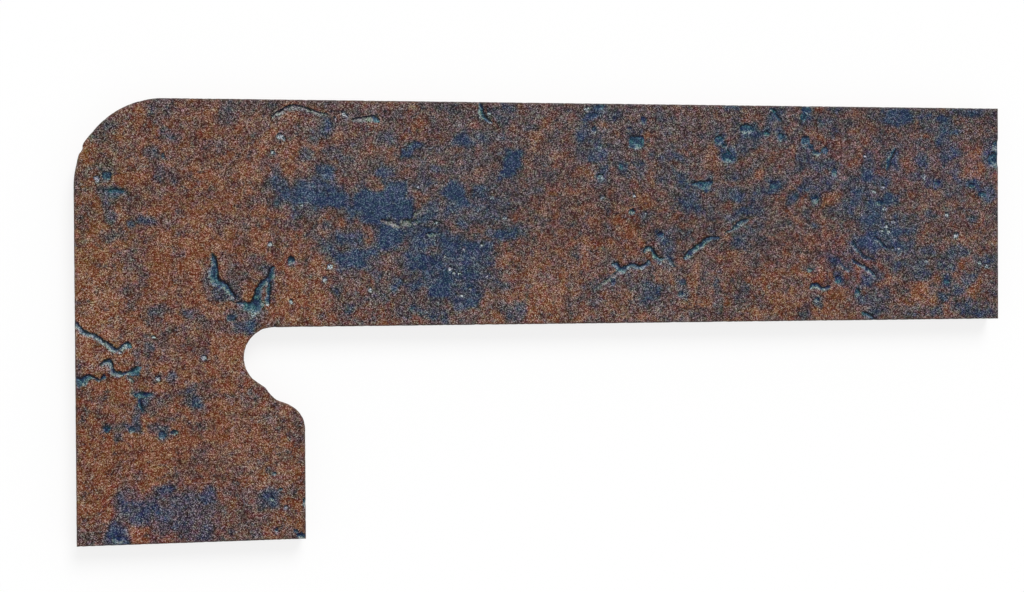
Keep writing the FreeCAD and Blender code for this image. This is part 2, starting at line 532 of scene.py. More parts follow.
def curve_through(marks, steps=6):
    """A smooth line through the marks.

    Each stretch is a cubic whose slope at a mark points from the mark before to the mark after.
    """
    held = np.vstack([2 * marks[0] - marks[1], marks, 2 * marks[-1] - marks[-2]])
    before, start, end, after = held[:-3], held[1:-2], held[2:-1], held[3:]
    t = np.linspace(0, 1, steps, endpoint=False)[:, None, None]
    square = 2 * before - 5 * start + 4 * end - after
    cube = 3 * start - before - 3 * end + after
    line = (2 * start + (end - before) * t + square * t**2 + cube * t**3) / 2
    return np.vstack([line.transpose(1, 0, 2).reshape(-1, marks.shape[1]), marks[-1:]])


def walked(line):
    """How far a walk along a line has come at each of its points: its steps, added up."""
    return np.concatenate([[0], np.cumsum(np.linalg.norm(np.diff(line, axis=0), axis=1))])


for fissure in fissures.values():
    marks = np.array(fissure["marks"], float)
    curve = curve_through(np.column_stack([from_photo(marks[:, :2]), marks[:, 2]]))
    fissure["line"], fissure["widths"] = curve[:, :2], curve[:, 2]
    fissure["passed"] = walked(fissure["line"])
all_lengths = [fissure["passed"][-1] for fissure in fissures.values()]
print("fissures:", len(fissures), "together, mm:", round(sum(all_lengths)))

# %% [markdown]
# To carve a fissure we ask each point of the face where it lies from the line: how far along,
# how far to the right, and how far past an end. The answer for the nearest of the line's short
# stretches is kept.

# %% Where a point lies from a line
def beside(points, line):
    """For each point: its offset from the line, positive to the right, how far along and how far past an end.

    The gap to the nearest stretch is split into the part square to it and the part along it.
    The part along it is only kept beyond the line's own ends.
    """
    start, way = line[:-1], np.diff(line, axis=0)
    length = np.linalg.norm(way, axis=1)
    lead = points[:, None] - start
    share = (lead * way).sum(-1) / length**2
    gap = lead - np.clip(share, 0, 1)[..., None] * way
    nearest = np.linalg.norm(gap, axis=-1).argmin(1)
    row = np.arange(len(points))
    gap, share, unit = gap[row, nearest], share[row, nearest], way[nearest] / length[nearest, None]
    to_right = unit[:, 1] * gap[:, 0] - unit[:, 0] * gap[:, 1]
    beyond = (nearest == 0) & (share < 0) | (nearest == len(way) - 1) & (share > 1)
    past_end = np.abs((gap * unit).sum(-1)) * beyond
    distance = np.sqrt(np.maximum((gap**2).sum(-1) - past_end**2, 0))
    passed = walked(line)[nearest] + np.clip(share, 0, 1) * length[nearest]
    return np.where(to_right > 0, distance, -distance), passed, past_end


def near_box(points, line, margin):
    """Which points lie inside the line's box, grown by a margin."""
    return ((points > line.min(0) - margin) & (points < line.max(0) + margin)).all(-1)


# %% [markdown]
# Craters are where gas broke through the glaze. They are shallow, with a flat floor, a steep
# upper wall and an uneven rim. Bubbles are smaller and are filled with pale, frothy glaze. A
# crater is written as a pixel, its half width and half height in millimetres, its depth, and the
# same paleness as before, and a bubble as a pixel and a radius. Two craters have a shape of their
# own: one has corners, and the other narrows like a drop.

# %% Craters and bubbles
craters = {
    "band crater, small": (600.5, 176.3, 1.7, 1.2, 0.45, 0.45),
    "band crater, lower": (632.3, 211.8, 1.5, 1.5, 0.45, 0.6),
    "band crater, top": (643.8, 120, 1.3, 1.8, 0.35, 0.4),
    "band crater, rim": (600, 106.5, 2.0, 1.7, 0.3, 0.15),
    "band crater, below rim": (594.5, 115, 1.4, 1.5, 0.3, 0.05),
    "band crater, teal": (594, 129.5, 1.2, 1.7, 0.3, 0.4),
    "band crater, froth": (600, 146.5, 1.3, 1.0, 0.2, 0.5),
    "band crater, tear": (621, 166, 1.1, 1.6, 0.3, 0.1),
    "band crater, speck": (630, 128.5, 1.1, 0.8, 0.25, 0.1),
    "band dot": (660.5, 234.5, 1.6, 1.5, 0.4, 0.15),
    "band dot, second": (683, 282, 1.6, 1.3, 0.2, 0.2),
    "band dot, third": (681.5, 294, 1.7, 1.4, 0.2, 0.25),
    "band pool": (613.5, 281, 1.2, 2.2, 0.22, 0.05),
    "top crater, long": (746.5, 128.5, 3.2, 2.2, 0.5, 0.32),
    "top crater, left": (719, 139.5, 1.9, 2.2, 0.45, 0.1),
    "top crater, left tail": (724.5, 145.8, 1.2, 1.0, 0.3, 0.5),
    "top crater, edge": (806.5, 109, 2.1, 2.2, 0.4, 0.15),
    "top crater, below edge": (803.5, 117, 1.5, 2.0, 0.35, 0.1),
    "top crater, dash": (834.8, 172, 1.2, 2.4, 0.4, 0.25),
    "top crater, dot": (766.5, 133, 1.5, 1.3, 0.35, 0.05),
    "top crater, second dot": (780.5, 136.5, 1.1, 2.1, 0.3, 0.1),
    "top crater, low": (773.5, 185.5, 1.9, 1.9, 0.3, 0.1),
    "top path, first": (805.7, 140.3, 2.2, 2.0, 0.42, 0.15),
    "top path, link": (811.3, 146.5, 1.3, 1.2, 0.3, 0.15),
    "top path, second": (816.5, 152.8, 2.0, 1.2, 0.36, 0.4),
    "top path, third": (825.3, 150.3, 1.6, 1.7, 0.36, 0.15),
    "top crater, pale low": (815.5, 199, 1.6, 1.9, 0.18, 0.35),
    "butt crater, upper": (997, 146.5, 2.4, 2.8, 0.6, 0.6),
    "butt crater, lower": (994.8, 159.5, 3.3, 3.5, 0.7, 0.28),
    "butt crater, oval": (982.5, 194, 2.0, 1.4, 0.35, 0.1),
    "butt crater, small oval": (972.6, 185.2, 1.6, 1.2, 0.3, 0.1),
    "butt crater, tear": (938, 183.3, 1.2, 1.6, 0.3, 0.05),
    "butt crater, teal": (946.5, 280.8, 1.3, 1.4, 0.3, 0.1),
    "cluster crater": (838.5, 279.2, 1.7, 2.0, 0.45, 0.1),
    "cluster crater, drop": (857.5, 293, 1.1, 2.2, 0.35, 0.25),
    "cluster crater, ring": (817, 300, 1.3, 1.2, 0.25, 0.45),
    "cluster crater, top ring": (809.5, 270, 1.6, 0.9, 0.25, 0.4),
    "cluster crater, upper": (879.5, 202.5, 1.8, 1.4, 0.3, 0.35),
    "fork crater": (291.2, 260.3, 1.6, 1.7, 0.5, 0.45),
    "fork crater, teal": (230.8, 318, 1.9, 1.5, 0.22, 0.15),
    "middle crater, rim": (431, 234.3, 2.2, 1.1, 0.36, 0.6),
    "middle knot": (407, 222.5, 1.9, 1.5, 0.42, 0.72),
    "middle knot, right": (415.5, 222.5, 1.2, 1.4, 0.36, 0.7),
    "leg crater, streak": (116, 191, 3.6, 1.2, 0.35, 0.15),
    "leg crater, spot": (107, 175.5, 2.1, 1.8, 0.3, 0.15),
    "leg crater, fleck": (97, 178.5, 1.2, 1.4, 0.25, 1.0),
    "crown dot": (163, 155, 0.9, 1.3, 0.25, 0.15),
    "leg crater, core": (162, 435, 1.7, 1.7, 0.3, 0.1),
    "leg crater, dot": (107, 429, 1.4, 1.3, 0.35, 0.1),
    "leg crater, round": (131.5, 429.5, 1.6, 1.4, 0.25, 0.1),
    "leg crater, curl": (174, 432.5, 1.6, 1.0, 0.3, 0.45),
    "foot crater": (276.7, 530, 0.9, 0.9, 0.3, 0.3),
    "foot crater, second": (296, 531, 1.0, 0.9, 0.3, 0.3),
    "foot crater, blue": (272, 499, 1.2, 1.0, 0.25, 0.4),
    "foot crater, upper": (280.5, 489.5, 0.9, 0.9, 0.3, 0.35),
    "foot crater, top": (274.5, 473.5, 0.8, 0.9, 0.3, 0.3),
    "foot pool": (119.5, 539.5, 3.0, 1.8, 0.25, 0.5),
    "foot chip": (304.5, 503, 0.9, 2.0, 0.4, 0.5),
    "foot corner chip": (301, 535.5, 2.2, 1.3, 0.4, 0.3),
}
square_crater = (636.5, 141.8, 3.3, 2.9, 0.55, 0.2)
drop_crater = (728, 155.8, 2.4, 2.8, 0.5, 0.05)

bubbles = [
    (343.5, 113.3, 0.9), (347.5, 116, 0.6), (335, 118, 0.6), (280, 136, 1.1), (284.5, 138.5, 0.7),
    (273, 152, 0.8), (302, 205, 0.7), (330, 266, 1.1), (325, 279, 0.9), (370, 289, 0.7), (450.5, 268, 0.9),
    (454, 272.5, 0.7), (460.5, 273, 0.7), (464, 249, 0.9), (481, 244.5, 0.6), (470, 289, 0.9),
    (462, 295, 0.6), (505, 217, 0.9), (492, 197, 0.7), (489, 112.5, 0.9), (587, 108, 0.9), (646, 213, 0.7),
    (885, 208, 0.9), (886, 225.5, 0.7), (888.5, 231, 0.8), (895, 238, 0.6), (881.5, 230.5, 0.8),
    (893, 221.3, 0.8), (893, 249.5, 0.8), (899, 248, 0.6), (906, 250.3, 0.6), (956.5, 235, 1.1),
    (926.5, 261, 0.9), (980, 262, 0.8), (986.5, 265.5, 0.9), (947, 214, 0.8), (924, 176, 1.1),
    (944, 166, 0.6), (286, 507, 0.8), (291, 301, 0.8), (204, 357, 0.9), (158, 378, 0.9), (153.5, 337, 0.7),
    (243.5, 303, 0.6), (275, 327.5, 0.8), (865, 156, 0.7), (634.5, 195, 0.7), (602, 197, 0.8),
    (419, 186, 0.7), (436, 222, 0.7), (478, 262, 0.6), (445, 256, 0.6), (487, 276, 0.6), (120, 352, 0.7),
    (270, 244, 0.8), (291, 263.5, 0.5), (660, 262, 0.9), (232.5, 297.5, 0.9), (253, 314.5, 1.0),
    (214, 278.5, 1.3), (267, 303, 0.7), (883, 186.5, 0.9), (874, 191.5, 0.8),
]
print("craters:", len(craters) + 2, "bubbles:", len(bubbles))

# %% [markdown]
# A fissure is only a millimetre or two wide, and a cell is nearly one. Instead of making the
# whole grid finer, we draw its points towards the fissures, the bubbles and the small craters, as
# threads of a net are drawn to a snag: a point at distance d moves to d times a factor that
# grows from the draw factor at the mark to 1 at the reach. Averaging the moves with their
# neighbours keeps the net from folding.

# %% Draw the grid towards the marks
draw_reach, bubble_reach = 4.2, 3.0
draw_factor = 0.4
smoothing_steps = 4
fissure_middle = 0.35    # share of the width, right of the steep wall, that the grid is drawn to
small_crater = 1.5       # half size below which a crater draws the grid too
edge_calm = (0.8, 3.0)   # distances from the edge between which the moves set in
flat_points = face_points.reshape(-1, 2)
moves = np.zeros_like(flat_points)
pull = np.zeros(len(flat_points))


def draw_towards(near, gaps, reach):
    """Keep the move of each point that pulls it hardest: its gap times 1 minus its factor."""
    distance = np.linalg.norm(gaps, axis=-1)
    shorter = (1 - draw_factor) * (1 - np.clip(distance / reach, 0, 1))
    stronger = shorter > pull[near]
    chosen = near[stronger]
    pull[chosen] = shorter[stronger]
    moves[chosen] = -(gaps * shorter[:, None])[stronger]


for fissure in fissures.values():
    line = fissure["line"]
    way = np.gradient(line, axis=0)
    way /= np.linalg.norm(way, axis=1)[:, None]
    to_right = np.column_stack([way[:, 1], -way[:, 0]])
    middle_line = line + fissure_middle * fissure["widths"][:, None] * to_right
    near = np.flatnonzero(near_box(flat_points, middle_line, draw_reach))
    gaps = flat_points[near, None] - middle_line
    nearest = np.linalg.norm(gaps, axis=-1).argmin(1)
    draw_towards(near, gaps[np.arange(len(near)), nearest], draw_reach)
small_marks = [bubble[:2] for bubble in bubbles]
small_marks += [crater[:2] for crater in craters.values() if min(crater[2:4]) < small_crater]
for centre in from_photo(small_marks):
    gaps = flat_points - centre
    near = np.flatnonzero(np.linalg.norm(gaps, axis=-1) < bubble_reach)
    draw_towards(near, gaps[near], bubble_reach)

moves = moves.reshape(face_points.shape)
for step in range(smoothing_steps):
    padded = np.pad(moves, ((1, 1), (1, 1), (0, 0)), mode="edge")
    neighbours = padded[:-2, 1:-1] + padded[2:, 1:-1]
    neighbours = neighbours + padded[1:-1, :-2] + padded[1:-1, 2:]
    moves = (moves + neighbours / 4) / 2
moves *= ease(edge_distance, *edge_calm)[..., None]
face_points = face_points + moves
edge_distance, edge_inward = from_edge(face_points)
report_cells("drawn to the marks:", face_points)

# %% [markdown]
# The outline of a cut and fired tile is a little ragged: grains broke out along the arris. So
# each edge point steps into the tile by a random amount, and the step fades within a few
# millimetres. The butt end was sawn, and stays crisp, and so do the four corners, where two
# directions of stepping would cross. One nick in the crown is deeper, with a burr below it.

# %% Ragged edges
ragged_depth = 0.2
ragged_fade = 3.0        # where the step has died out, mm from the edge
ragged_layers = [(0.6, 2.3, 11), (0.5, 0.9, 12)]
ragged_lift = 0.1        # added to the noise, so that more than half of the edge is broken
sawn_calm = 0.8          # the share of the raggedness that the sawn end lacks
sawn_reach = (2.5, 0.5)  # distances from the sawn end between which it is lost
corner_calm = (0.2, 1.6) # distances from a corner between which the step sets in
crown_nick = {"pixel": (80.9, 149.5), "depth": 1.0, "radius": 1.1}
crown_burr = {"pixel": (82, 146), "depth": -0.55, "radius": 5.0}
sharp_corners = np.array([(left_x, foot_y), (riser_x, foot_y), (right_x, top_y), (right_x, tread_y)])


def ragged(points):
    """How far the edge steps inward, mm: noise of two sizes, held above 0, less at the sawn end."""
    step = ragged_depth * np.clip(layered(points, ragged_layers) + ragged_lift, 0, 1)
    step = step * (1 - sawn_calm * ease(points[..., 0], right_x - sawn_reach[0], right_x - sawn_reach[1]))
    for corner in sharp_corners:
        step = step * ease(np.linalg.norm(points - corner, axis=-1), *corner_calm)
    for mark in (crown_nick, crown_burr):
        reach = np.linalg.norm(points - from_photo(mark["pixel"]), axis=-1)
        step = step + mark["depth"] * np.exp(-((reach / mark["radius"]) ** 2))
    return step


fade = 1 - ease(edge_distance, 0, ragged_fade)
face_plan = face_points + edge_inward * (ragged(face_points) * fade)[..., None]
report_cells("with ragged edges:", face_plan)

# %% [markdown]
# Every hollow leaves five facts at each point of the face. The first three are lengths and
# places that change evenly from point to point, so the material can draw crisp borders between
# the mesh's points: how far inside the hollow's border the point lies, how far it is below the
# steep upper wall, and where it is across the hollow, from -1 at that wall to 1 at the foot of
# the ramp. The others are how pale it is painted, as thin glaze with a painted highlight on a
# ramp and as froth in a bubble, and, from its depth, how strong its colours are, painted shade
# among them.

# %% Carve the hollows
ragged_border = 0.3      # how far noise moves a hollow's border, mm
asked = (face_points + ragged_border * random_step(face_points, 1.9, 21)).reshape(-1, 2)
far_outside = -3.0
hollow_depth, from_wall, hollow_across, hollow_pale, hollow_strength = np.zeros((5, len(asked)))
hollow_inside = np.full(len(asked), far_outside)
full_strength = 0.55     # depth from which a hollow shows its colours in full, mm
froth = 1.0              # the paleness that marks a bubble
froth_strength = 0.4     # what a bubble shows beyond its depth

search_margin = 6.0      # how far round a fissure its facts are worked out, mm
wall_run = (-0.25, 0.3)  # offsets between which the steep wall falls, mm
ramp_run = (0.5, 1.08)   # shares of the width between which the ramp climbs
usual_width = 1.7        # a fissure narrower than this is shallower too, mm
end_run = 0.8            # how far past its end a fissure dies out, mm
bowl_run = (0.6, 1.12)   # shares of a crater's half size between which its side climbs


def keep_nearest(indexes, inside, wall, across, hollow, depth):
    """Keeps a hollow's facts where a point lies further inside it than any before; depth only grows."""
    deepest, pale = hollow
    hollow_depth[indexes] = np.maximum(hollow_depth[indexes], depth)
    nearer = inside > hollow_inside[indexes]
    chosen = indexes[nearer]
    hollow_inside[chosen] = inside[nearer]
    from_wall[chosen] = np.clip(wall[nearer], -2, 4)
    hollow_across[chosen] = np.clip(across[nearer], -3, 3)
    hollow_pale[chosen] = pale
    hollow_strength[chosen] = min(deepest / full_strength + froth_strength * (pale == froth), 1)


def carve_fissure(fissure):
    """A trench to the right of the line: a steep wall, a flat floor, and a ramp over the last half.

    Inside is the smaller gap to its two borders, less the length past an end. The width swells and
    shrinks a little with noise along the line.
    """
    line = fissure["line"]
    near = np.flatnonzero(near_box(asked, line, search_margin))
    offset, passed, past_end = beside(asked[near], line)
    width = np.interp(passed, fissure["passed"], fissure["widths"])
    width = width * (1.1 + 0.35 * noise(asked[near], 2.6, 23))
    inside = np.minimum(offset, width - offset) - past_end
    wall = ease(offset, *wall_run)
    ramp = 1 - ease(offset / width, *ramp_run)
    shallow = np.clip(width / usual_width, 0.4, 1) * (1 - ease(past_end, 0, end_run))
    depth = fissure["depth"] * shallow * wall * ramp * (1 + 0.3 * noise(asked[near], 4.3, 24))
    keep_nearest(near, inside, offset, 2 * offset / width - 1, (fissure["depth"], fissure["pale"]), depth)


def carve_crater(across_pixel, down_pixel, half_width, half_height, depth, pale, corners=2.3, taper=0.0):
    """A bowl with a flat floor. Its border is where |x|^n + |y|^n = 1, with x and y in half sizes.

    With n = 2 that is an ellipse; a larger n gives it corners. The taper narrows it towards its top.
    """
    lead = (asked - from_photo([across_pixel, down_pixel])) / (half_width, half_height)
    near = np.flatnonzero((np.abs(lead) < 3).all(-1))
    lead = lead[near]
    lead[:, 0] /= np.clip(1 - taper * lead[:, 1], 0.2, 1.8)
    from_middle = (np.abs(lead) ** corners).sum(-1) ** (1 / corners)
    from_middle = from_middle * (1 + 0.15 * noise(asked[near], 1.5, 25))
    upper_rim = np.clip(1 - np.abs(lead[:, 0]) ** corners, 0, 1) ** (1 / corners)
    wall = (upper_rim - lead[:, 1]) * half_height
    inside = (1 - from_middle) * min(half_width, half_height)
    bowl = depth * (1 - ease(from_middle, *bowl_run))
    keep_nearest(near, inside, wall, -lead[:, 1], (depth, pale), bowl)


for fissure in fissures.values():
    carve_fissure(fissure)
for crater in craters.values():
    carve_crater(*crater)
carve_crater(*square_crater, corners=5)
carve_crater(*drop_crater, taper=0.7)
bubble_depth, bubble_swell = 0.22, 1.2
for across_pixel, down_pixel, radius in bubbles:
    carve_crater(across_pixel, down_pixel, bubble_swell * radius, bubble_swell * radius, bubble_depth, froth)
hollow_depth = hollow_depth.reshape(face_points.shape[:2])
print("deepest hollow, mm:", hollow_depth.max().round(2), "share:", (hollow_inside > 0).mean().round(4))

# %% [markdown]
# The rest of the relief is gentle: long waves left by the extruder and the kiln, lumps of the
# glaze a few millimetres wide, and a grain that roughens every cell. The arris is a quarter
# round. All of it only goes down from the face plane: the highest few hundredths of the relief
# are worn flat and lie exactly on it, so the tile keeps its thickness.

# %% Height of the face
wave, lump, grit = 0.12, 0.07, 0.045
worn_flat = 97           # the part of the relief, in hundredths, that lies below the worn tops
relief = [(wave, 55, 31), (0.6 * wave, 19, 32), (lump, 7.5, 33), (lump, 3.4, 34), (grit, 1.7, 35)]
texture = layered(face_points, relief)
settled = np.minimum(texture - np.percentile(texture, worn_flat), 0)
into_arris = np.clip(arris_radius - edge_distance, 0, arris_radius)
arris = arris_radius - np.sqrt(arris_radius**2 - into_arris**2)
face_height = face_z + settled * ease(edge_distance, -0.5, 1.0) - hollow_depth - arris
print("face height, mm:", face_height.min().round(2), "to", face_height.max().round(2))

# %% [markdown]
# The walls hang from the rim of the face. We walk once round the grid's border, take those
# points as a ring, and lower copies of it in rows to the back. The rim's raggedness turns into
# the fine roughness of a cut clay wall on the way down, and the last rows round the back arris.

# %% Walls
rows, columns = face_points.shape[:2]
numbers = np.arange(rows * columns).reshape(rows, columns)
rim = np.concatenate([numbers[:-1, 0], numbers[-1, :-1], numbers[:0:-1, -1], numbers[0, :0:-1]])
rim_points = face_points.reshape(-1, 2)[rim]
rim_inward = edge_inward.reshape(-1, 2)[rim]
rim_height = face_height.reshape(-1)[rim]
rim_ragged = ragged(rim_points)

wall_levels = np.array([0.97, 0.86, 0.66, 0.44, 0.22, 0.035, 0.0])
back_arris = np.array([0, 0, 0, 0, 0, 0.02, 0.3])
wall_roughness = 0.1
wall_layers = [(1.0, 1.6, 41), (0.6, 5.0, 42)]
way_round = walked(rim_points)


def wall_row(level, back_step):
    """One ring of the wall at a share of the rim's height, stepped inward by its roughness."""
    height = rim_height * level
    unrolled = np.stack([way_round, height], -1)
    rough = wall_roughness * np.clip(0.5 + layered(unrolled, wall_layers), 0, 1.5)
    carried = ease(level, 0.6, 1.0)
    plan = rim_points + rim_inward * (rim_ragged * carried + rough * (1 - carried) + back_step)[:, None]
    return np.column_stack([plan, height])


wall_rows = [wall_row(level, step) for level, step in zip(wall_levels, back_arris)]
print("wall rows:", len(wall_rows), "of", len(rim), "points")

# %% [markdown]
# One mesh takes it all: the face's cells, the strips between the wall's rings, and the flat
# back. The back is flat, so long cells from the outer to the inner side are enough, with one
# many-sided face at each end. Cells are numbered so that each one's corners run round it
# anticlockwise as seen from outside, which is what makes its normal point out.

# %% Assemble the tile
face_vertices = np.column_stack([face_plan.reshape(-1, 2), face_height.reshape(-1)])
vertices = np.vstack([face_vertices, *wall_rows])
face_cells = np.stack([numbers[:-1, :-1], numbers[:-1, 1:], numbers[1:, 1:], numbers[1:, :-1]], -1)
face_cells = face_cells.reshape(-1, 4)
rings = [rim] + [len(face_vertices) + len(rim) * row + np.arange(len(rim)) for row in range(len(wall_rows))]
wall_cells = np.concatenate([
    np.stack([upper, np.roll(upper, -1), np.roll(lower, -1), lower], -1)
    for upper, lower in zip(rings, rings[1:])
])

on_back = np.full(rows * columns, -1)
on_back[rim] = rings[-1]
on_back = on_back.reshape(rows, columns)
end_lines = len(edge_lines)
back_outer, back_inner = on_back[end_lines:-end_lines, 0], on_back[end_lines:-end_lines, -1]
back_cells = np.stack([back_outer[:-1], back_outer[1:], back_inner[1:], back_inner[:-1]], -1)
back_foot = np.concatenate([on_back[:end_lines + 1, 0], on_back[end_lines:0:-1, -1], on_back[0, :0:-1]])
back_butt = np.concatenate([on_back[-end_lines - 1:, 0], on_back[-1, 1:], on_back[-2:-end_lines - 2:-1, -1]])


def new_mesh(name, points, quads, caps=()):
    """A mesh from points in mm, four-sided cells, and any larger faces that close it."""
    mesh = bpy.data.meshes.new(name)
    corners = np.concatenate([quads.reshape(-1), *caps]).astype(np.int32)
    sizes = np.array([4] * len(quads) + [len(cap) for cap in caps])
    mesh.vertices.add(len(points))
    mesh.vertices.foreach_set("co", (points * mm).astype(np.float32).reshape(-1))
    mesh.loops.add(len(corners))
    mesh.loops.foreach_set("vertex_index", corners)
    mesh.polygons.add(len(sizes))
    mesh.polygons.foreach_set("loop_start", (np.cumsum(sizes) - sizes).astype(np.int32))
    mesh.update(calc_edges=True)
    mesh.validate()
    return mesh


tile_cells = np.concatenate([face_cells, wall_cells, back_cells])
tile_mesh = new_mesh("clinker_tile", vertices, tile_cells, [back_foot, back_butt])
tile = bpy.data.objects.new("clinker_tile", tile_mesh)
bpy.context.scene.collection.objects.link(tile)
print("tile mesh:", len(tile_mesh.vertices), "points", len(tile_mesh.polygons), "faces")

# %% [markdown]
# The blue blooms are where the glaze held more metal oxide. They have no edge of their own: they
# thin out into the rust in specks. So the mesh carries only a soft density, and the material
# will break it up with noise. Each bloom is a box of pixels, left, top, right and bottom, and a
# density in hundredths. Where blooms overlap, what is left of the rust is multiplied.

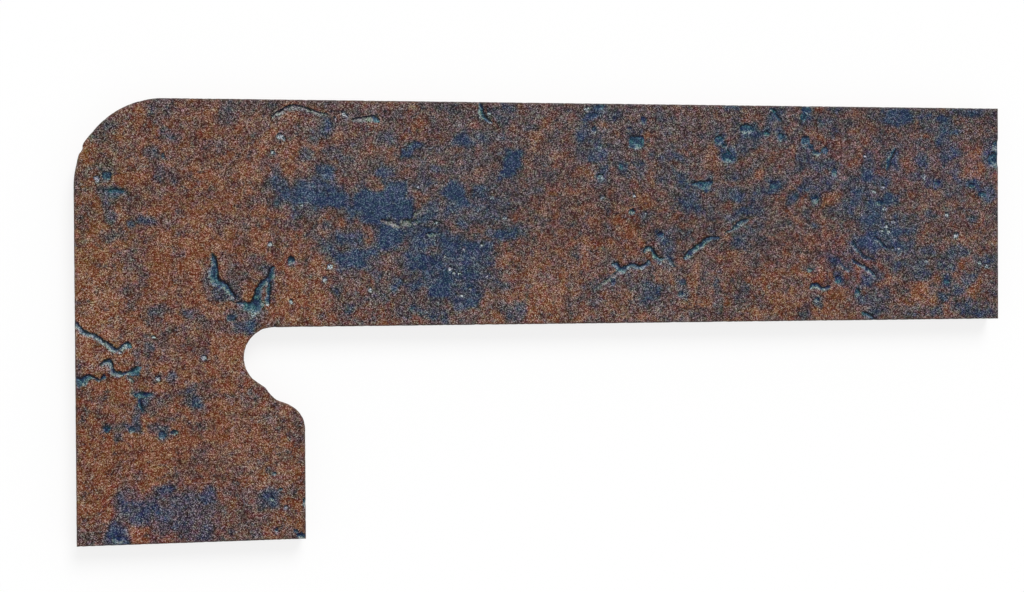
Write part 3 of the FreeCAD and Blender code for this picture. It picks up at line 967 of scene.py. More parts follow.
# %% Blooms
blooms = {
    "large bloom in the middle of the band": [
        (269, 166, 281, 178, 85), (268, 175, 288, 192, 95), (274, 186, 303, 203, 95),
        (291, 180, 322, 191, 70), (295, 188, 321, 203, 95), (310, 194, 348, 207, 90),
        (319, 183, 334, 193, 70), (276, 199, 297, 211, 40), (299, 200, 317, 214, 50),
        (293, 208, 313, 219, 50), (330, 186, 346, 198, 40), (355, 188, 373, 211, 92),
        (368, 191, 393, 209, 88), (385, 183, 404, 201, 90), (394, 197, 413, 219, 90),
        (361, 207, 386, 221, 70), (345, 205, 362, 221, 60), (378, 205, 400, 223, 55),
        (376, 167, 393, 178, 45), (324, 222, 333, 229, 40), (376, 225, 403, 248, 90),
        (337, 232, 362, 246, 65), (352, 249, 379, 258, 75), (335, 253, 366, 269, 65),
        (402, 254, 441, 271, 65), (410, 234, 426, 256, 60), (419, 225, 449, 238, 60),
        (422, 237, 461, 249, 70), (408, 207, 433, 223, 50), (423, 204, 437, 219, 60),
        (444, 182, 464, 201, 80), (457, 197, 471, 208, 80), (440, 204, 468, 226, 60),
        (475, 184, 493, 201, 50), (470, 203, 491, 219, 50), (489, 196, 511, 223, 35),
        (486, 229, 502, 238, 70), (497, 231, 519, 243, 80), (507, 222, 527, 237, 60),
        (463, 244, 493, 267, 65), (439, 247, 470, 263, 50), (444, 261, 481, 281, 50),
        (424, 267, 451, 286, 50), (429, 284, 453, 298, 70), (454, 297, 479, 311, 80),
        (464, 283, 483, 297, 60), (438, 268, 502, 301, 20), (424, 243, 497, 302, 12),
        (390, 275, 401, 293, 65), (373, 274, 383, 285, 50), (333, 287, 342, 299, 50),
        (299, 225, 321, 241, 35), (319, 239, 333, 253, 40), (499, 279, 513, 288, 40),
        (503, 302, 527, 323, 50), (517, 303, 527, 313, 75), (345, 304, 353, 313, 40),
        (440, 310, 449, 323, 50), (411, 303, 421, 313, 40), (410, 279, 421, 291, 35),
        (414, 177, 431, 191, 35), (404, 225, 424, 240, 40), (320, 243, 400, 262, 20),
        (420, 300, 446, 318, 25),
    ],
    "above it, up to the top edge": [
        (402, 148, 413, 156, 85), (408, 143, 424, 150, 85), (506, 149, 523, 166, 90),
        (503, 160, 517, 173, 90), (500, 170, 511, 180, 75), (454, 132, 469, 144, 55),
        (455, 140, 464, 147, 40), (317, 165, 332, 179, 85), (502, 102, 517, 113, 60),
        (496, 115, 508, 127, 40), (524, 121, 536, 130, 55), (527, 187, 538, 195, 50),
        (316, 122, 330, 137, 45), (326, 118, 337, 130, 35), (302, 150, 314, 160, 35),
        (322, 146, 334, 154, 45), (307, 132, 316, 144, 35), (217, 107, 237, 127, 30),
        (330, 155, 350, 163, 30), (376, 129, 394, 146, 30), (472, 132, 490, 146, 30),
        (440, 104, 466, 112, 20), (430, 165, 443, 173, 40), (466, 140, 475, 148, 40),
    ],
    "round the crown and down the leg": [
        (101, 171, 113, 182, 75), (103, 187, 125, 195, 70), (137, 216, 153, 226, 75),
        (127, 221, 134, 228, 75), (102, 233, 123, 243, 35), (153, 173, 163, 182, 50),
        (209, 283, 237, 301, 65), (204, 268, 213, 284, 50), (100, 192, 107, 215, 45),
        (104, 212, 114, 222, 60), (142, 146, 158, 156, 50), (157, 168, 176, 181, 45),
        (150, 98, 170, 120, 40), (160, 130, 174, 140, 35), (104, 118, 116, 131, 35),
        (125, 190, 142, 201, 30), (184, 309, 196, 319, 50), (148, 306, 164, 316, 40),
        (236, 300, 262, 313, 50), (236, 313, 268, 325, 45), (238, 321, 256, 333, 85),
        (225, 314, 237, 322, 60), (268, 282, 275, 302, 40), (264, 268, 276, 282, 50),
        (135, 391, 154, 399, 80), (136, 397, 146, 412, 70), (133, 412, 142, 434, 85),
        (126, 424, 136, 434, 60), (102, 424, 111, 434, 70), (148, 422, 160, 435, 55),
        (156, 428, 169, 441, 75), (165, 371, 176, 383, 75), (154, 375, 162, 383, 40),
        (181, 388, 205, 404, 50), (192, 394, 204, 406, 80), (145, 343, 154, 355, 50),
        (200, 350, 209, 361, 35), (115, 434, 123, 442, 55), (112, 421, 128, 431, 35),
        (143, 400, 160, 412, 35), (181, 322, 192, 332, 35), (188, 407, 197, 418, 35),
        (132, 345, 140, 372, 30), (186, 316, 206, 324, 25), (158, 346, 170, 360, 20),
        (225, 262, 262, 282, 25),
    ],
    "foot": [
        (109, 492, 128, 514, 50), (116, 499, 158, 521, 50), (155, 496, 208, 531, 55),
        (199, 489, 213, 501, 40), (260, 489, 278, 508, 85), (107, 526, 128, 546, 85),
        (156, 486, 171, 496, 85), (252, 528, 261, 538, 40), (272, 527, 282, 536, 50),
        (199, 490, 216, 502, 60), (136, 512, 152, 526, 50), (198, 524, 214, 538, 50),
    ],
    "right half of the band, its left part": [
        (577, 126, 593, 140, 40), (576, 134, 604, 161, 25), (590, 148, 606, 160, 65),
        (592, 103, 607, 118, 60), (583, 111, 594, 120, 50), (601, 163, 609, 172, 50),
        (574, 108, 592, 128, 30), (595, 171, 605, 180, 60), (615, 160, 626, 174, 50),
        (638, 158, 646, 178, 40), (604, 108, 620, 120, 30), (675, 170, 690, 190, 50),
        (660, 153, 682, 161, 40), (658, 176, 672, 184, 35), (645, 148, 655, 156, 40),
        (680, 190, 700, 216, 50), (690, 203, 704, 215, 60), (706, 203, 716, 213, 40),
        (655, 229, 666, 241, 60), (640, 213, 652, 222, 35), (646, 284, 662, 303, 65),
        (637, 293, 648, 304, 55), (580, 284, 600, 300, 40), (585, 300, 597, 308, 45),
        (624, 272, 648, 292, 35), (676, 277, 688, 288, 50), (676, 289, 688, 299, 60),
        (612, 258, 622, 270, 50), (652, 228, 672, 250, 30), (676, 228, 696, 240, 40),
        (664, 246, 676, 270, 35), (592, 276, 618, 290, 35), (712, 277, 720, 293, 45),
        (712, 300, 724, 308, 40), (735, 284, 752, 300, 30), (698, 306, 706, 312, 40),
    ],
    "towards the top right corner": [
        (716, 134, 727, 146, 80), (721, 149, 735, 161, 80), (692, 179, 702, 189, 80),
        (699, 178, 713, 192, 80), (704, 172, 714, 181, 45), (739, 124, 755, 136, 75),
        (739, 136, 760, 150, 40), (768, 107, 785, 125, 50), (762, 119, 774, 128, 40),
        (800, 104, 813, 123, 70), (830, 105, 848, 113, 40), (820, 118, 846, 131, 35),
        (757, 128, 771, 137, 60), (776, 127, 785, 141, 65), (716, 188, 743, 203, 50),
        (730, 193, 742, 202, 70), (742, 187, 769, 197, 35), (750, 196, 765, 214, 45),
        (787, 193, 798, 203, 70), (798, 186, 812, 193, 60), (803, 179, 813, 191, 50),
        (810, 193, 821, 205, 60), (812, 174, 833, 191, 40), (768, 180, 781, 192, 70),
        (743, 170, 753, 179, 50), (794, 145, 812, 157, 45), (792, 155, 813, 171, 40),
        (815, 161, 833, 171, 45), (840, 177, 863, 201, 30), (838, 203, 855, 213, 40),
        (728, 237, 769, 249, 35), (731, 229, 747, 247, 45), (749, 225, 763, 242, 50),
        (703, 213, 746, 221, 40), (725, 105, 737, 110, 40), (700, 225, 720, 236, 25),
        (724, 172, 738, 182, 40), (735, 206, 748, 216, 45), (760, 215, 790, 232, 25),
        (830, 165, 840, 181, 60), (895, 111, 913, 124, 75), (884, 112, 897, 124, 55),
        (876, 106, 901, 116, 45), (919, 109, 931, 119, 60), (919, 118, 936, 133, 35),
        (939, 115, 953, 124, 65), (935, 128, 953, 149, 50), (950, 108, 997, 117, 50),
        (940, 124, 961, 133, 40), (917, 138, 931, 147, 40), (940, 150, 951, 163, 50),
        (951, 149, 963, 158, 65), (918, 151, 927, 168, 50), (864, 150, 873, 181, 35),
        (864, 168, 875, 182, 55), (884, 149, 898, 170, 65), (845, 175, 871, 193, 25),
        (876, 176, 889, 188, 55), (876, 196, 890, 205, 65), (887, 194, 899, 204, 60),
        (852, 194, 863, 204, 50), (899, 173, 921, 181, 40), (921, 179, 931, 188, 50),
        (934, 179, 942, 188, 75), (952, 166, 961, 182, 45), (956, 178, 967, 187, 55),
        (967, 181, 979, 188, 70), (978, 186, 991, 197, 65), (984, 190, 997, 202, 65),
        (944, 184, 961, 201, 30), (984, 136, 1000, 168, 50), (866, 188, 879, 197, 45),
    ],
    "butt end, below": [
        (842, 201, 855, 211, 50), (801, 210, 811, 219, 60), (811, 221, 819, 228, 60),
        (802, 222, 809, 233, 40), (819, 252, 843, 269, 35), (828, 255, 843, 264, 60),
        (845, 239, 863, 261, 40), (854, 235, 867, 247, 65), (865, 231, 879, 254, 90),
        (867, 200, 887, 223, 65), (884, 196, 897, 204, 50), (857, 218, 873, 229, 45),
        (874, 221, 893, 237, 45), (877, 231, 901, 247, 50), (884, 243, 916, 253, 55),
        (888, 215, 897, 223, 50), (889, 225, 901, 236, 45), (907, 221, 921, 233, 45),
        (923, 209, 937, 221, 45), (904, 213, 919, 221, 35), (902, 226, 915, 237, 35),
        (919, 245, 936, 257, 40), (939, 252, 956, 269, 65), (954, 247, 969, 257, 65),
        (967, 216, 979, 226, 50), (904, 258, 926, 271, 40), (889, 261, 901, 271, 50),
        (904, 272, 926, 281, 40), (917, 273, 933, 281, 60), (942, 273, 951, 285, 75),
        (963, 271, 976, 285, 55), (929, 284, 941, 296, 40), (951, 285, 963, 295, 65),
        (936, 293, 949, 303, 75), (951, 297, 963, 309, 50), (959, 302, 975, 317, 70),
        (931, 307, 943, 317, 65), (974, 308, 997, 319, 60), (907, 307, 917, 317, 50),
        (854, 285, 863, 301, 70), (857, 295, 881, 305, 45), (869, 299, 886, 313, 40),
        (874, 287, 891, 301, 45), (833, 272, 844, 285, 90), (842, 261, 853, 273, 55),
        (863, 265, 879, 281, 55), (861, 276, 873, 289, 55), (809, 257, 819, 267, 50),
        (805, 266, 819, 273, 50), (799, 309, 811, 321, 55), (814, 296, 823, 305, 60),
        (864, 309, 879, 321, 60), (984, 249, 998, 263, 35), (974, 257, 991, 269, 40),
        (824, 205, 842, 221, 30), (851, 198, 911, 263, 12),
    ],
}


def soft_box(points, box, softness):
    """1 inside a box of pixels and 0 outside, with a border that grows with the softness and the box."""
    corners = from_photo([box[:2], box[2:4]])
    centre, half = corners.mean(0), np.abs(corners[1] - corners[0]) / 2
    border = softness * half + 0.8
    sides = ease(half + border / 2 - np.abs(points - centre), 0, border)
    return sides[..., 0] * sides[..., 1]


def bloom_density(points):
    """1 minus what all blooms leave of the rust."""
    left = np.ones(points.shape[:-1])
    for bloom in sum(blooms.values(), []):
        left *= 1 - bloom[4] / 100 * soft_box(points, bloom, bloom_softness)
    return 1 - left


bloom_softness, tone_softness = 0.8, 0.7
bloom_waver, tone_waver = 1.5, 1.8   # how far noise moves the borders of blooms and tones, mm
waver = random_step(face_points, 7.0, 51) + 0.6 * random_step(face_points, 2.8, 53)
face_bloom = bloom_density(face_points + bloom_waver * waver)
print("blooms:", sum(map(len, blooms.values())), "density, mean:", face_bloom.mean().round(3))

# %% [markdown]
# Under the blooms the rust itself drifts over the tile: it is hottest down the leg, greyer along
# the top and towards the butt end, with small islands of bare rust inside the blooms. Each of
# these fields is a box of pixels with how much redder than blue it makes the glaze, and how much
# lighter, both in steps of a screen's 255. A few broad ones give it a cast of green, or of
# violet where they are negative.

# %% Fields of tone
tones = {
    "leg and crown": [
        (60, 90, 335, 345, 15, 0), (60, 345, 315, 485, 17, 0), (60, 255, 118, 345, 12, 5),
        (60, 430, 112, 528, 14, 0), (150, 225, 212, 295, 10, 0), (205, 338, 250, 382, 15, 0),
        (125, 425, 182, 472, 10, 0), (60, 370, 225, 560, 3, -4), (95, 487, 215, 560, -6, 2),
        (120, 90, 345, 235, -2, 0), (255, 112, 312, 162, 0, 7), (80, 170, 230, 210, 0, -5),
        (214, 262, 262, 312, -4, -5), (292, 398, 320, 560, 0, -7), (240, 430, 290, 480, 0, 4),
        (95, 265, 125, 365, 0, 4), (243, 288, 253, 301, 25, 6), (260, 287, 266, 300, 22, 0),
        (76, 255, 100, 310, 6, 2), (210, 340, 245, 375, 6, 2), (76, 322, 132, 358, 8, 5),
        (145, 526, 192, 552, 2, -9), (106, 490, 218, 546, 6, 2), (127, 524, 153, 546, 22, 8),
        (76, 470, 112, 530, 8, 2), (262, 505, 318, 542, 10, 2), (214, 524, 244, 550, -14, 0),
        (168, 406, 196, 430, 16, 0), (140, 94, 176, 112, -14, 0), (76, 228, 104, 258, 0, -8),
        (214, 156, 248, 182, 0, 7), (234, 204, 262, 232, 0, 7), (236, 94, 274, 112, 0, 8),
    ],
    "middle of the band": [
        (280, 262, 326, 316, 12, 4), (310, 160, 512, 304, -10, 0), (270, 183, 830, 250, -2, -5),
        (400, 225, 498, 302, 0, -5), (500, 195, 652, 330, 13, 0), (512, 282, 562, 330, 12, 5),
        (500, 250, 700, 330, 0, 2), (595, 200, 690, 246, 0, -4), (411, 192, 427, 211, 34, 4),
        (343, 187, 355, 196, 26, 4), (362, 228, 377, 245, 24, 2), (368, 177, 383, 189, 26, 2),
        (336, 217, 346, 227, 22, 0), (384, 255, 400, 268, 18, 0), (440, 217, 455, 230, 18, 2),
        (462, 170, 500, 186, 12, 2), (502, 148, 524, 181, 0, -20), (402, 142, 425, 157, -4, -13),
        (366, 306, 398, 330, 22, 0), (344, 274, 366, 296, 14, 2), (414, 148, 446, 172, 0, 7),
        (456, 214, 486, 238, 0, 6), (425, 185, 440, 202, 14, 2), (300, 250, 330, 300, 8, 2),
        (430, 300, 452, 312, 12, 0), (484, 290, 500, 325, 8, 0),
    ],
    "right half of the band": [
        (380, 90, 1010, 195, -8, 0), (640, 90, 1010, 262, -2, 0), (680, 262, 852, 330, 10, 0),
        (850, 195, 1010, 330, -2, 0), (700, 90, 1010, 330, 0, -3), (790, 90, 1010, 136, 0, -6),
        (958, 292, 1010, 330, -2, -10), (739, 239, 754, 251, 30, 8), (822, 196, 839, 207, 15, 3),
        (813, 261, 831, 281, 20, 5), (850, 264, 869, 275, 24, 6), (959, 288, 978, 301, 26, 6),
        (907, 288, 936, 304, 20, 4), (884, 209, 893, 219, 22, 3), (852, 114, 871, 131, 14, 2),
        (869, 124, 900, 137, 12, 0), (899, 151, 918, 165, 12, 2), (961, 139, 985, 178, 15, 4),
        (848, 148, 866, 172, 10, 2), (890, 165, 925, 200, 10, 0), (988, 171, 999, 188, 16, 0),
        (893, 250, 905, 258, 18, 3), (819, 224, 836, 236, 10, 0), (757, 169, 766, 181, 24, 4),
        (645, 133, 656, 146, 18, 4), (626, 147, 646, 160, 14, 2), (628, 108, 660, 120, 8, 2),
        (588, 172, 594, 181, 20, 3), (606, 170, 618, 181, 16, 2), (598, 118, 610, 130, 12, 2),
        (738, 105, 760, 120, 8, 0), (705, 145, 718, 165, 14, 3), (700, 265, 735, 305, 6, 4),
        (675, 262, 700, 308, 8, 4), (808, 128, 822, 137, 10, 2), (980, 306, 1002, 322, 18, 0),
        (980, 114, 1006, 142, 0, -9), (696, 306, 736, 328, 0, -9), (774, 306, 816, 328, 0, -8),
        (806, 206, 836, 228, -14, 0), (770, 236, 798, 258, -12, 0), (858, 182, 880, 203, 12, 0),
        (835, 145, 850, 175, 8, 0), (776, 158, 792, 170, 14, 3), (860, 262, 868, 272, 8, 0),
        (905, 290, 930, 300, 6, 2),
    ],
}
green_casts = {
    "round the crown": (70, 120, 130, 270, 3), "foot": (105, 488, 220, 552, -4),
    "top right": (790, 140, 1010, 190, -3), "butt cluster": (815, 235, 880, 290, -5),
}


def add_fields(points, fields, columns):
    """For each named column, its numbers times the soft boxes of their fields, added up."""
    inside = np.stack([soft_box(points, field, tone_softness) for field in fields])
    return [np.tensordot([field[column] for field in fields], inside, 1) for column in columns]


tone_points = face_points + tone_waver * waver
face_redness, face_lightness = add_fields(tone_points, sum(tones.values(), []), (4, 5))
face_greenness = add_fields(tone_points, list(green_casts.values()), (4,))[0]
print("redness from", face_redness.min().round(), "to", face_redness.max().round())

# %% [markdown]
# These facts travel with the mesh as point attributes. The walls get the values that fit them:
# no blooms or hollows, and wear that dies out below the arris.

# %% Attributes for the finish
worn_share = (0.02, 0.14)            # shares of the wall's height over which wear dies out
worn_width = 1.1                     # how far wear reaches in from the edge, mm
wall_wear = 1 - ease(1 - wall_levels, *worn_share)
face_wear = 1 - ease(edge_distance, 0.0, worn_width)


def write_attribute(name, on_face, on_wall_rows):
    """A point attribute with one value for each face point and one for each row of the wall."""
    values = np.concatenate([on_face.reshape(-1), np.repeat(on_wall_rows, len(rim))])
    attribute = tile_mesh.attributes.new(name, "FLOAT", "POINT")
    attribute.data.foreach_set("value", values.astype(np.float32))


no_rows = np.zeros(len(wall_levels))
face_alone = {
    "bloom": face_bloom, "redness": face_redness, "lightness": face_lightness, "greenness": face_greenness,
    "from_wall": from_wall, "hollow_across": hollow_across, "hollow_pale": hollow_pale,
    "hollow_strength": hollow_strength,
}
for name, on_face in face_alone.items():
    write_attribute(name, on_face, no_rows)
write_attribute("hollow_inside", hollow_inside, no_rows + far_outside)
write_attribute("wear", face_wear, wall_wear)
print("attributes:", [attribute.name for attribute in tile_mesh.attributes if attribute.data_type == "FLOAT"])

# %% [markdown]
# The back is keyed, so that mortar locks into it: ten dovetail grooves run along the way the
# clay was extruded, a little wider inside than at the mouth. A groove is a section carried
# along a line, and ten of them in one mesh are cut away with a Boolean modifier. The section
# wavers slightly on its way, as clay does when it leaves the die.

# %% Cutters for the keyed back
groove_pitch = 16.0      # from one groove to the next
groove_mouth = 7.0       # width at the back plane
groove_undercut = 0.5    # how much wider the groove is at its floor, on each side
groove_depth = 1.5       # back plane to the floor
groove_margin = 12.0     # plain rib left along the top edge and along the foot
groove_overrun = 1.0     # how far a cutter passes the ends of the tile
station_gap = 8.0
sway_layers = [(0.12, 26, 61), (0.05, 9, 62)]
lift_layers = [(0.07, 18, 63)]
corner_apart, bar_apart = 7.3, 90    # steps through the noise from corner to corner and bar to bar

last_groove = (top_y - foot_y) / 2 - groove_margin - groove_mouth / 2
above_middle = np.arange(groove_pitch / 2, last_groove, groove_pitch)
groove_heights = np.concatenate([-above_middle[::-1], above_middle])
half_mouth, half_floor = groove_mouth / 2, groove_mouth / 2 + groove_undercut
groove_section = np.array([
    (half_mouth, -groove_depth), (half_mouth, 0), (half_floor, groove_depth),
    (-half_floor, groove_depth), (-half_mouth, 0), (-half_mouth, -groove_depth),
])


def groove_bars(heights):
    """Closed bars: the section at each station along X, its corners shifted by a slow noise."""
    corners = len(groove_section)
    along = np.arange(left_x - groove_overrun, right_x + groove_overrun + station_gap / 2, station_gap)
    along = np.linspace(along[0], right_x + groove_overrun, len(along))
    ring = np.arange(len(along) * corners).reshape(len(along), corners)
    next_corner = np.roll(ring, -1, 1)
    side = np.stack([ring[:-1], next_corner[:-1], next_corner[1:], ring[1:]], -1).reshape(-1, 4)
    points, cells, caps = [], [], []
    for number, height in enumerate(heights):
        across = corner_apart * np.arange(corners) + bar_apart * number
        spot = np.stack(np.broadcast_arrays(along[:, None], across), -1)
        sway = layered(spot, sway_layers)
        lift = layered(spot, lift_layers) * (groove_section[:, 1] > 0)
        bar = np.stack(np.broadcast_arrays(
            along[:, None], height + groove_section[:, 0] + sway, groove_section[:, 1] + lift), -1)
        first = number * ring.size
        points.append(bar.reshape(-1, 3))
        cells.append(side + first)
        caps += [ring[0, ::-1] + first, ring[-1] + first]
    return np.vstack(points), np.vstack(cells), caps


cutter_mesh = new_mesh("groove_bars", *groove_bars(groove_heights))
cutter = bpy.data.objects.new("groove_bars", cutter_mesh)
bpy.context.scene.collection.objects.link(cutter)
print("grooves at", groove_heights)


def signed_volume(mesh):
    """Volume in cm3, positive if the faces point out: the sixths of boxes that the triangles span."""
    mesh.calc_loop_triangles()
    corners = np.zeros(len(mesh.vertices) * 3)
    mesh.vertices.foreach_get("co", corners)
    triangles = np.zeros(len(mesh.loop_triangles) * 3, np.int32)
    mesh.loop_triangles.foreach_get("vertices", triangles)
    one, two, three = corners.reshape(-1, 3)[triangles].reshape(-1, 3, 3).transpose(1, 0, 2)
    return (one * np.cross(two, three)).sum() / 6 * 1e6


print("volumes before the cut, cm3:", signed_volume(tile_mesh), signed_volume(cutter_mesh))

# %% [markdown]
# The faces of the face and walls take the glaze, and what the cutters leave behind is raw clay,
# as is the flat back. A Boolean carries the cutters' material number over to the faces that it
# makes, so we number the materials before the cut.

# %% Cut the grooves
sharp_turn = np.radians(50)          # where two faces turn more than this, their edge is drawn sharp
glaze = bpy.data.materials.new("rust_and_blue_glaze")
clay = bpy.data.materials.new("raw_fired_clay")
for mesh in (tile_mesh, cutter_mesh):
    mesh.materials.append(glaze)
    mesh.materials.append(clay)
cutter_mesh.polygons.foreach_set("material_index", np.ones(len(cutter_mesh.polygons), np.int32))
is_back = np.arange(len(tile_mesh.polygons)) >= len(face_cells) + len(wall_cells)
tile_mesh.polygons.foreach_set("material_index", is_back.astype(np.int32))

cut = tile.modifiers.new("keyed_back", "BOOLEAN")
cut.operation = "DIFFERENCE"
cut.object = cutter
cut.solver = "MANIFOLD"
evaluated = tile.evaluated_get(bpy.context.evaluated_depsgraph_get())
cut_mesh = bpy.data.meshes.new_from_object(evaluated)
tile.modifiers.clear()
tile.data = cut_mesh
cut_mesh.name = "clinker_tile"
bpy.data.objects.remove(cutter)
bpy.data.meshes.remove(cutter_mesh)
bpy.data.meshes.remove(tile_mesh)
cut_mesh.polygons.foreach_set("use_smooth", np.ones(len(cut_mesh.polygons), bool))
cut_mesh.set_sharp_from_angle(angle=sharp_turn)

faces_at_edge = np.zeros(len(cut_mesh.loops), np.int32)
cut_mesh.loops.foreach_get("edge_index", faces_at_edge)
open_edges = (np.bincount(faces_at_edge) != 2).sum()
print("after the cut: volume, cm3:", round(signed_volume(cut_mesh), 2), "open edges:", open_edges)
print("triangles:", len(cut_mesh.loop_triangles), "materials:", cut_mesh.materials.keys())
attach(tile, "root")
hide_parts(part_name)

# %% [markdown]
# Materials are trees of nodes, and small helpers keep them short to write. One adds a node and
# links or sets its inputs. Others do arithmetic, map a range of values softly onto another, mix
# colours, or let a value swing with noise. Colours are named as they look on a screen and turned
# into the linear ones that Blender mixes.

# %% Helpers for nodes
def add_node(tree, kind, inputs=(), **settings):
    """A new node. An input that is given a socket is linked to it; any other value is set."""
    made = tree.nodes.new(kind)
    for name, value in settings.items():
        setattr(made, name, value)
    for name, value in dict(inputs).items():
        if isinstance(value, bpy.types.NodeSocket):
            tree.links.new(value, made.inputs[name])
        else:
            made.inputs[name].default_value = value
    return made


def calc(tree, operation, *values):
    """Arithmetic on values or sockets."""
    return add_node(tree, "ShaderNodeMath", dict(enumerate(values)), operation=operation).outputs[0]


def spread(tree, value, low, high, to_low=0.0, to_high=1.0):
    """Maps low..high softly onto to_low..to_high."""
    ranges = {"Value": value, "From Min": low, "From Max": high, "To Min": to_low, "To Max": to_high}
    return add_node(tree, "ShaderNodeMapRange", ranges, interpolation_type="SMOOTHSTEP").outputs["Result"]


def mix(tree, share, first, second, kind="MIX"):
    """Mixes two colours by a share."""
    factor, colour_a, colour_b = 0, 6, 7
    made = add_node(tree, "ShaderNodeMix", {factor: share, colour_a: first, colour_b: second},
                    data_type="RGBA", blend_type=kind)
    return made.outputs[2]


def paint(red, green, blue):
    """A screen colour, 0 to 255, as the linear colour it stands for."""
    shown = np.array([red, green, blue]) / 255
    linear = np.where(shown <= 0.04045, shown / 12.92, ((shown + 0.055) / 1.055) ** 2.4)
    return (*linear.tolist(), 1.0)


def vector_maths(tree, operation, inputs):
    """Arithmetic on a vector."""
    return add_node(tree, "ShaderNodeVectorMath", inputs, operation=operation).outputs[0]


def cloud(tree, place, size, detail=2.0, roughness=0.5, seed=0.0):
    """Noise between 0 and 1 whose lumps are about that size in mm; a seed moves it elsewhere."""
    moved = vector_maths(tree, "ADD", {0: place, 1: (seed, -1.7 * seed, 0.6 * seed)})
    settings = {"Vector": moved, "Scale": 1 / size, "Detail": detail, "Roughness": roughness}
    return add_node(tree, "ShaderNodeTexNoise", settings).outputs["Fac"]


def swing(tree, base, pattern, weight):
    """A value plus a pattern's swing about its middle, times a weight."""
    return calc(tree, "MULTIPLY_ADD", calc(tree, "SUBTRACT", pattern, 0.5), weight, base)


def swing_clouds(tree, base, place, clouds):
    """A value plus the swings of several clouds, each given as its size in mm, its weight and its seed."""
    for size, weight, seed in clouds.values():
        base = swing(tree, base, cloud(tree, place, size, 0.0, 0.5, seed), weight)
    return base


def in_millimetres(tree):
    """The object's own coordinates in mm."""
    place = add_node(tree, "ShaderNodeTexCoord").outputs["Object"]
    return vector_maths(tree, "SCALE", {0: place, "Scale": 1 / mm})


def attribute(tree, name):
    """A point attribute of the mesh as a value."""
    return add_node(tree, "ShaderNodeAttribute", attribute_name=name).outputs["Fac"]


def connect(tree, values, inputs):
    """Links each named value to the input of that name."""
    for name, value in values.items():
        tree.links.new(value, inputs[name])


def new_group(name, inputs, outputs):
    """An empty node group with those named inputs and outputs, and its two end nodes."""
    group = bpy.data.node_groups.new(name, "ShaderNodeTree")
    for kind, sockets in (("INPUT", inputs), ("OUTPUT", outputs)):
        for socket, socket_type in sockets.items():
            group.interface.new_socket(socket, in_out=kind, socket_type=socket_type)
    return group, add_node(group, "NodeGroupInput").outputs, add_node(group, "NodeGroupOutput").inputs


# %% [markdown]
# Seen close, the whole tile is grain: specks of half a millimetre, each a little lighter or
# darker than its neighbour. Cells of a Voronoi texture give every speck one random value, and
# two sizes of them together look less like a mosaic. Glaze and clay both use it, so it is a
# node group, with the size of its specks as an input.

# %% Grain, shared by glaze and clay
value_type, vector_type, colour_type = "NodeSocketFloat", "NodeSocketVector", "NodeSocketColor"
grain_group, grain_in, grain_out = new_group(
    "clinker_grain", {"Place": vector_type, "Speck size": value_type},
    {"Brightness": value_type, "Tint": value_type, "Height": value_type})


def specks(tree, place, size, share):
    """Voronoi cells of a share of the speck size: two random values, and the distance to the middle."""
    density = calc(tree, "DIVIDE", 1 / share, size)
    cells = add_node(tree, "ShaderNodeTexVoronoi", {"Vector": place, "Scale": density, "Randomness": 1.0})
    split = add_node(tree, "ShaderNodeSeparateColor", {"Color": cells.outputs["Color"]})
    return split.outputs[0], split.outputs[1], cells.outputs["Distance"]


def blend(tree, one, other, weights):
    """The sum of two values, each times its weight."""
    return calc(tree, "MULTIPLY_ADD", one, weights[0], calc(tree, "MULTIPLY", other, weights[1]))


fine_share = 0.55        # size of the fine specks, as a share of the coarse ones
brightness_weights, tint_weights = (0.65, 0.35), (0.7, 0.3)
speck_place, speck_size = grain_in["Place"], grain_in["Speck size"]
coarse_value, coarse_tint, coarse_distance = specks(grain_group, speck_place, speck_size, 1.0)
fine_value, fine_tint = specks(grain_group, speck_place, speck_size, fine_share)[:2]
brightness = blend(grain_group, coarse_value, fine_value, brightness_weights)
dome = calc(grain_group, "SUBTRACT", 1.0, coarse_distance)
connect(grain_group, {
    "Brightness": brightness,
    "Tint": blend(grain_group, coarse_tint, fine_tint, tint_weights),
    "Height": calc(grain_group, "MULTIPLY", dome, calc(grain_group, "ADD", brightness, 0.3)),
}, grain_out)
print("group:", grain_group.name, "nodes:", len(grain_group.nodes))

# %% [markdown]
# The body of the tile is clinker: clay fired until it starts to melt, red-brown, with paler
# grog and black iron specks. It shows on the walls below the glaze and on the whole back.

# %% Fired body, shared by glaze and clay
body_group, body_in, body_out = new_group(
    "fired_body", {"Place": vector_type},
    {"Color": colour_type, "Roughness": value_type, "Height": value_type})
body_colours = paint(134, 84, 62), paint(158, 104, 77)
grog_colour, iron_colour = paint(196, 158, 128), paint(58, 42, 38)
body_specks = {"Place": body_in["Place"], "Speck size": 0.7}
body_grain = add_node(body_group, "ShaderNodeGroup", body_specks, node_tree=grain_group).outputs
body_tone = cloud(body_group, body_in["Place"], 14.0, 4.0, 0.6)
grog = spread(body_group, body_grain["Brightness"], 0.7, 0.95, 0.0, 0.6)
iron = spread(body_group, body_grain["Tint"], 0.80, 0.93, 0.0, 0.8)
body_colour = mix(body_group, spread(body_group, body_tone, 0.35, 0.65), *body_colours)
body_colour = mix(body_group, grog, body_colour, grog_colour)
body_colour = mix(body_group, iron, body_colour, iron_colour)
connect(body_group, {
    "Color": body_colour,
    "Roughness": spread(body_group, body_tone, 0.2, 0.8, 0.78, 0.92),
    "Height": body_grain["Height"],
}, body_out)
print("group:", body_group.name, "nodes:", len(body_group.nodes))

# %% [markdown]
# The raw clay of the back uses the body as it is, with drag lines along the way of extrusion:
# noise that is stretched twentyfold along X.

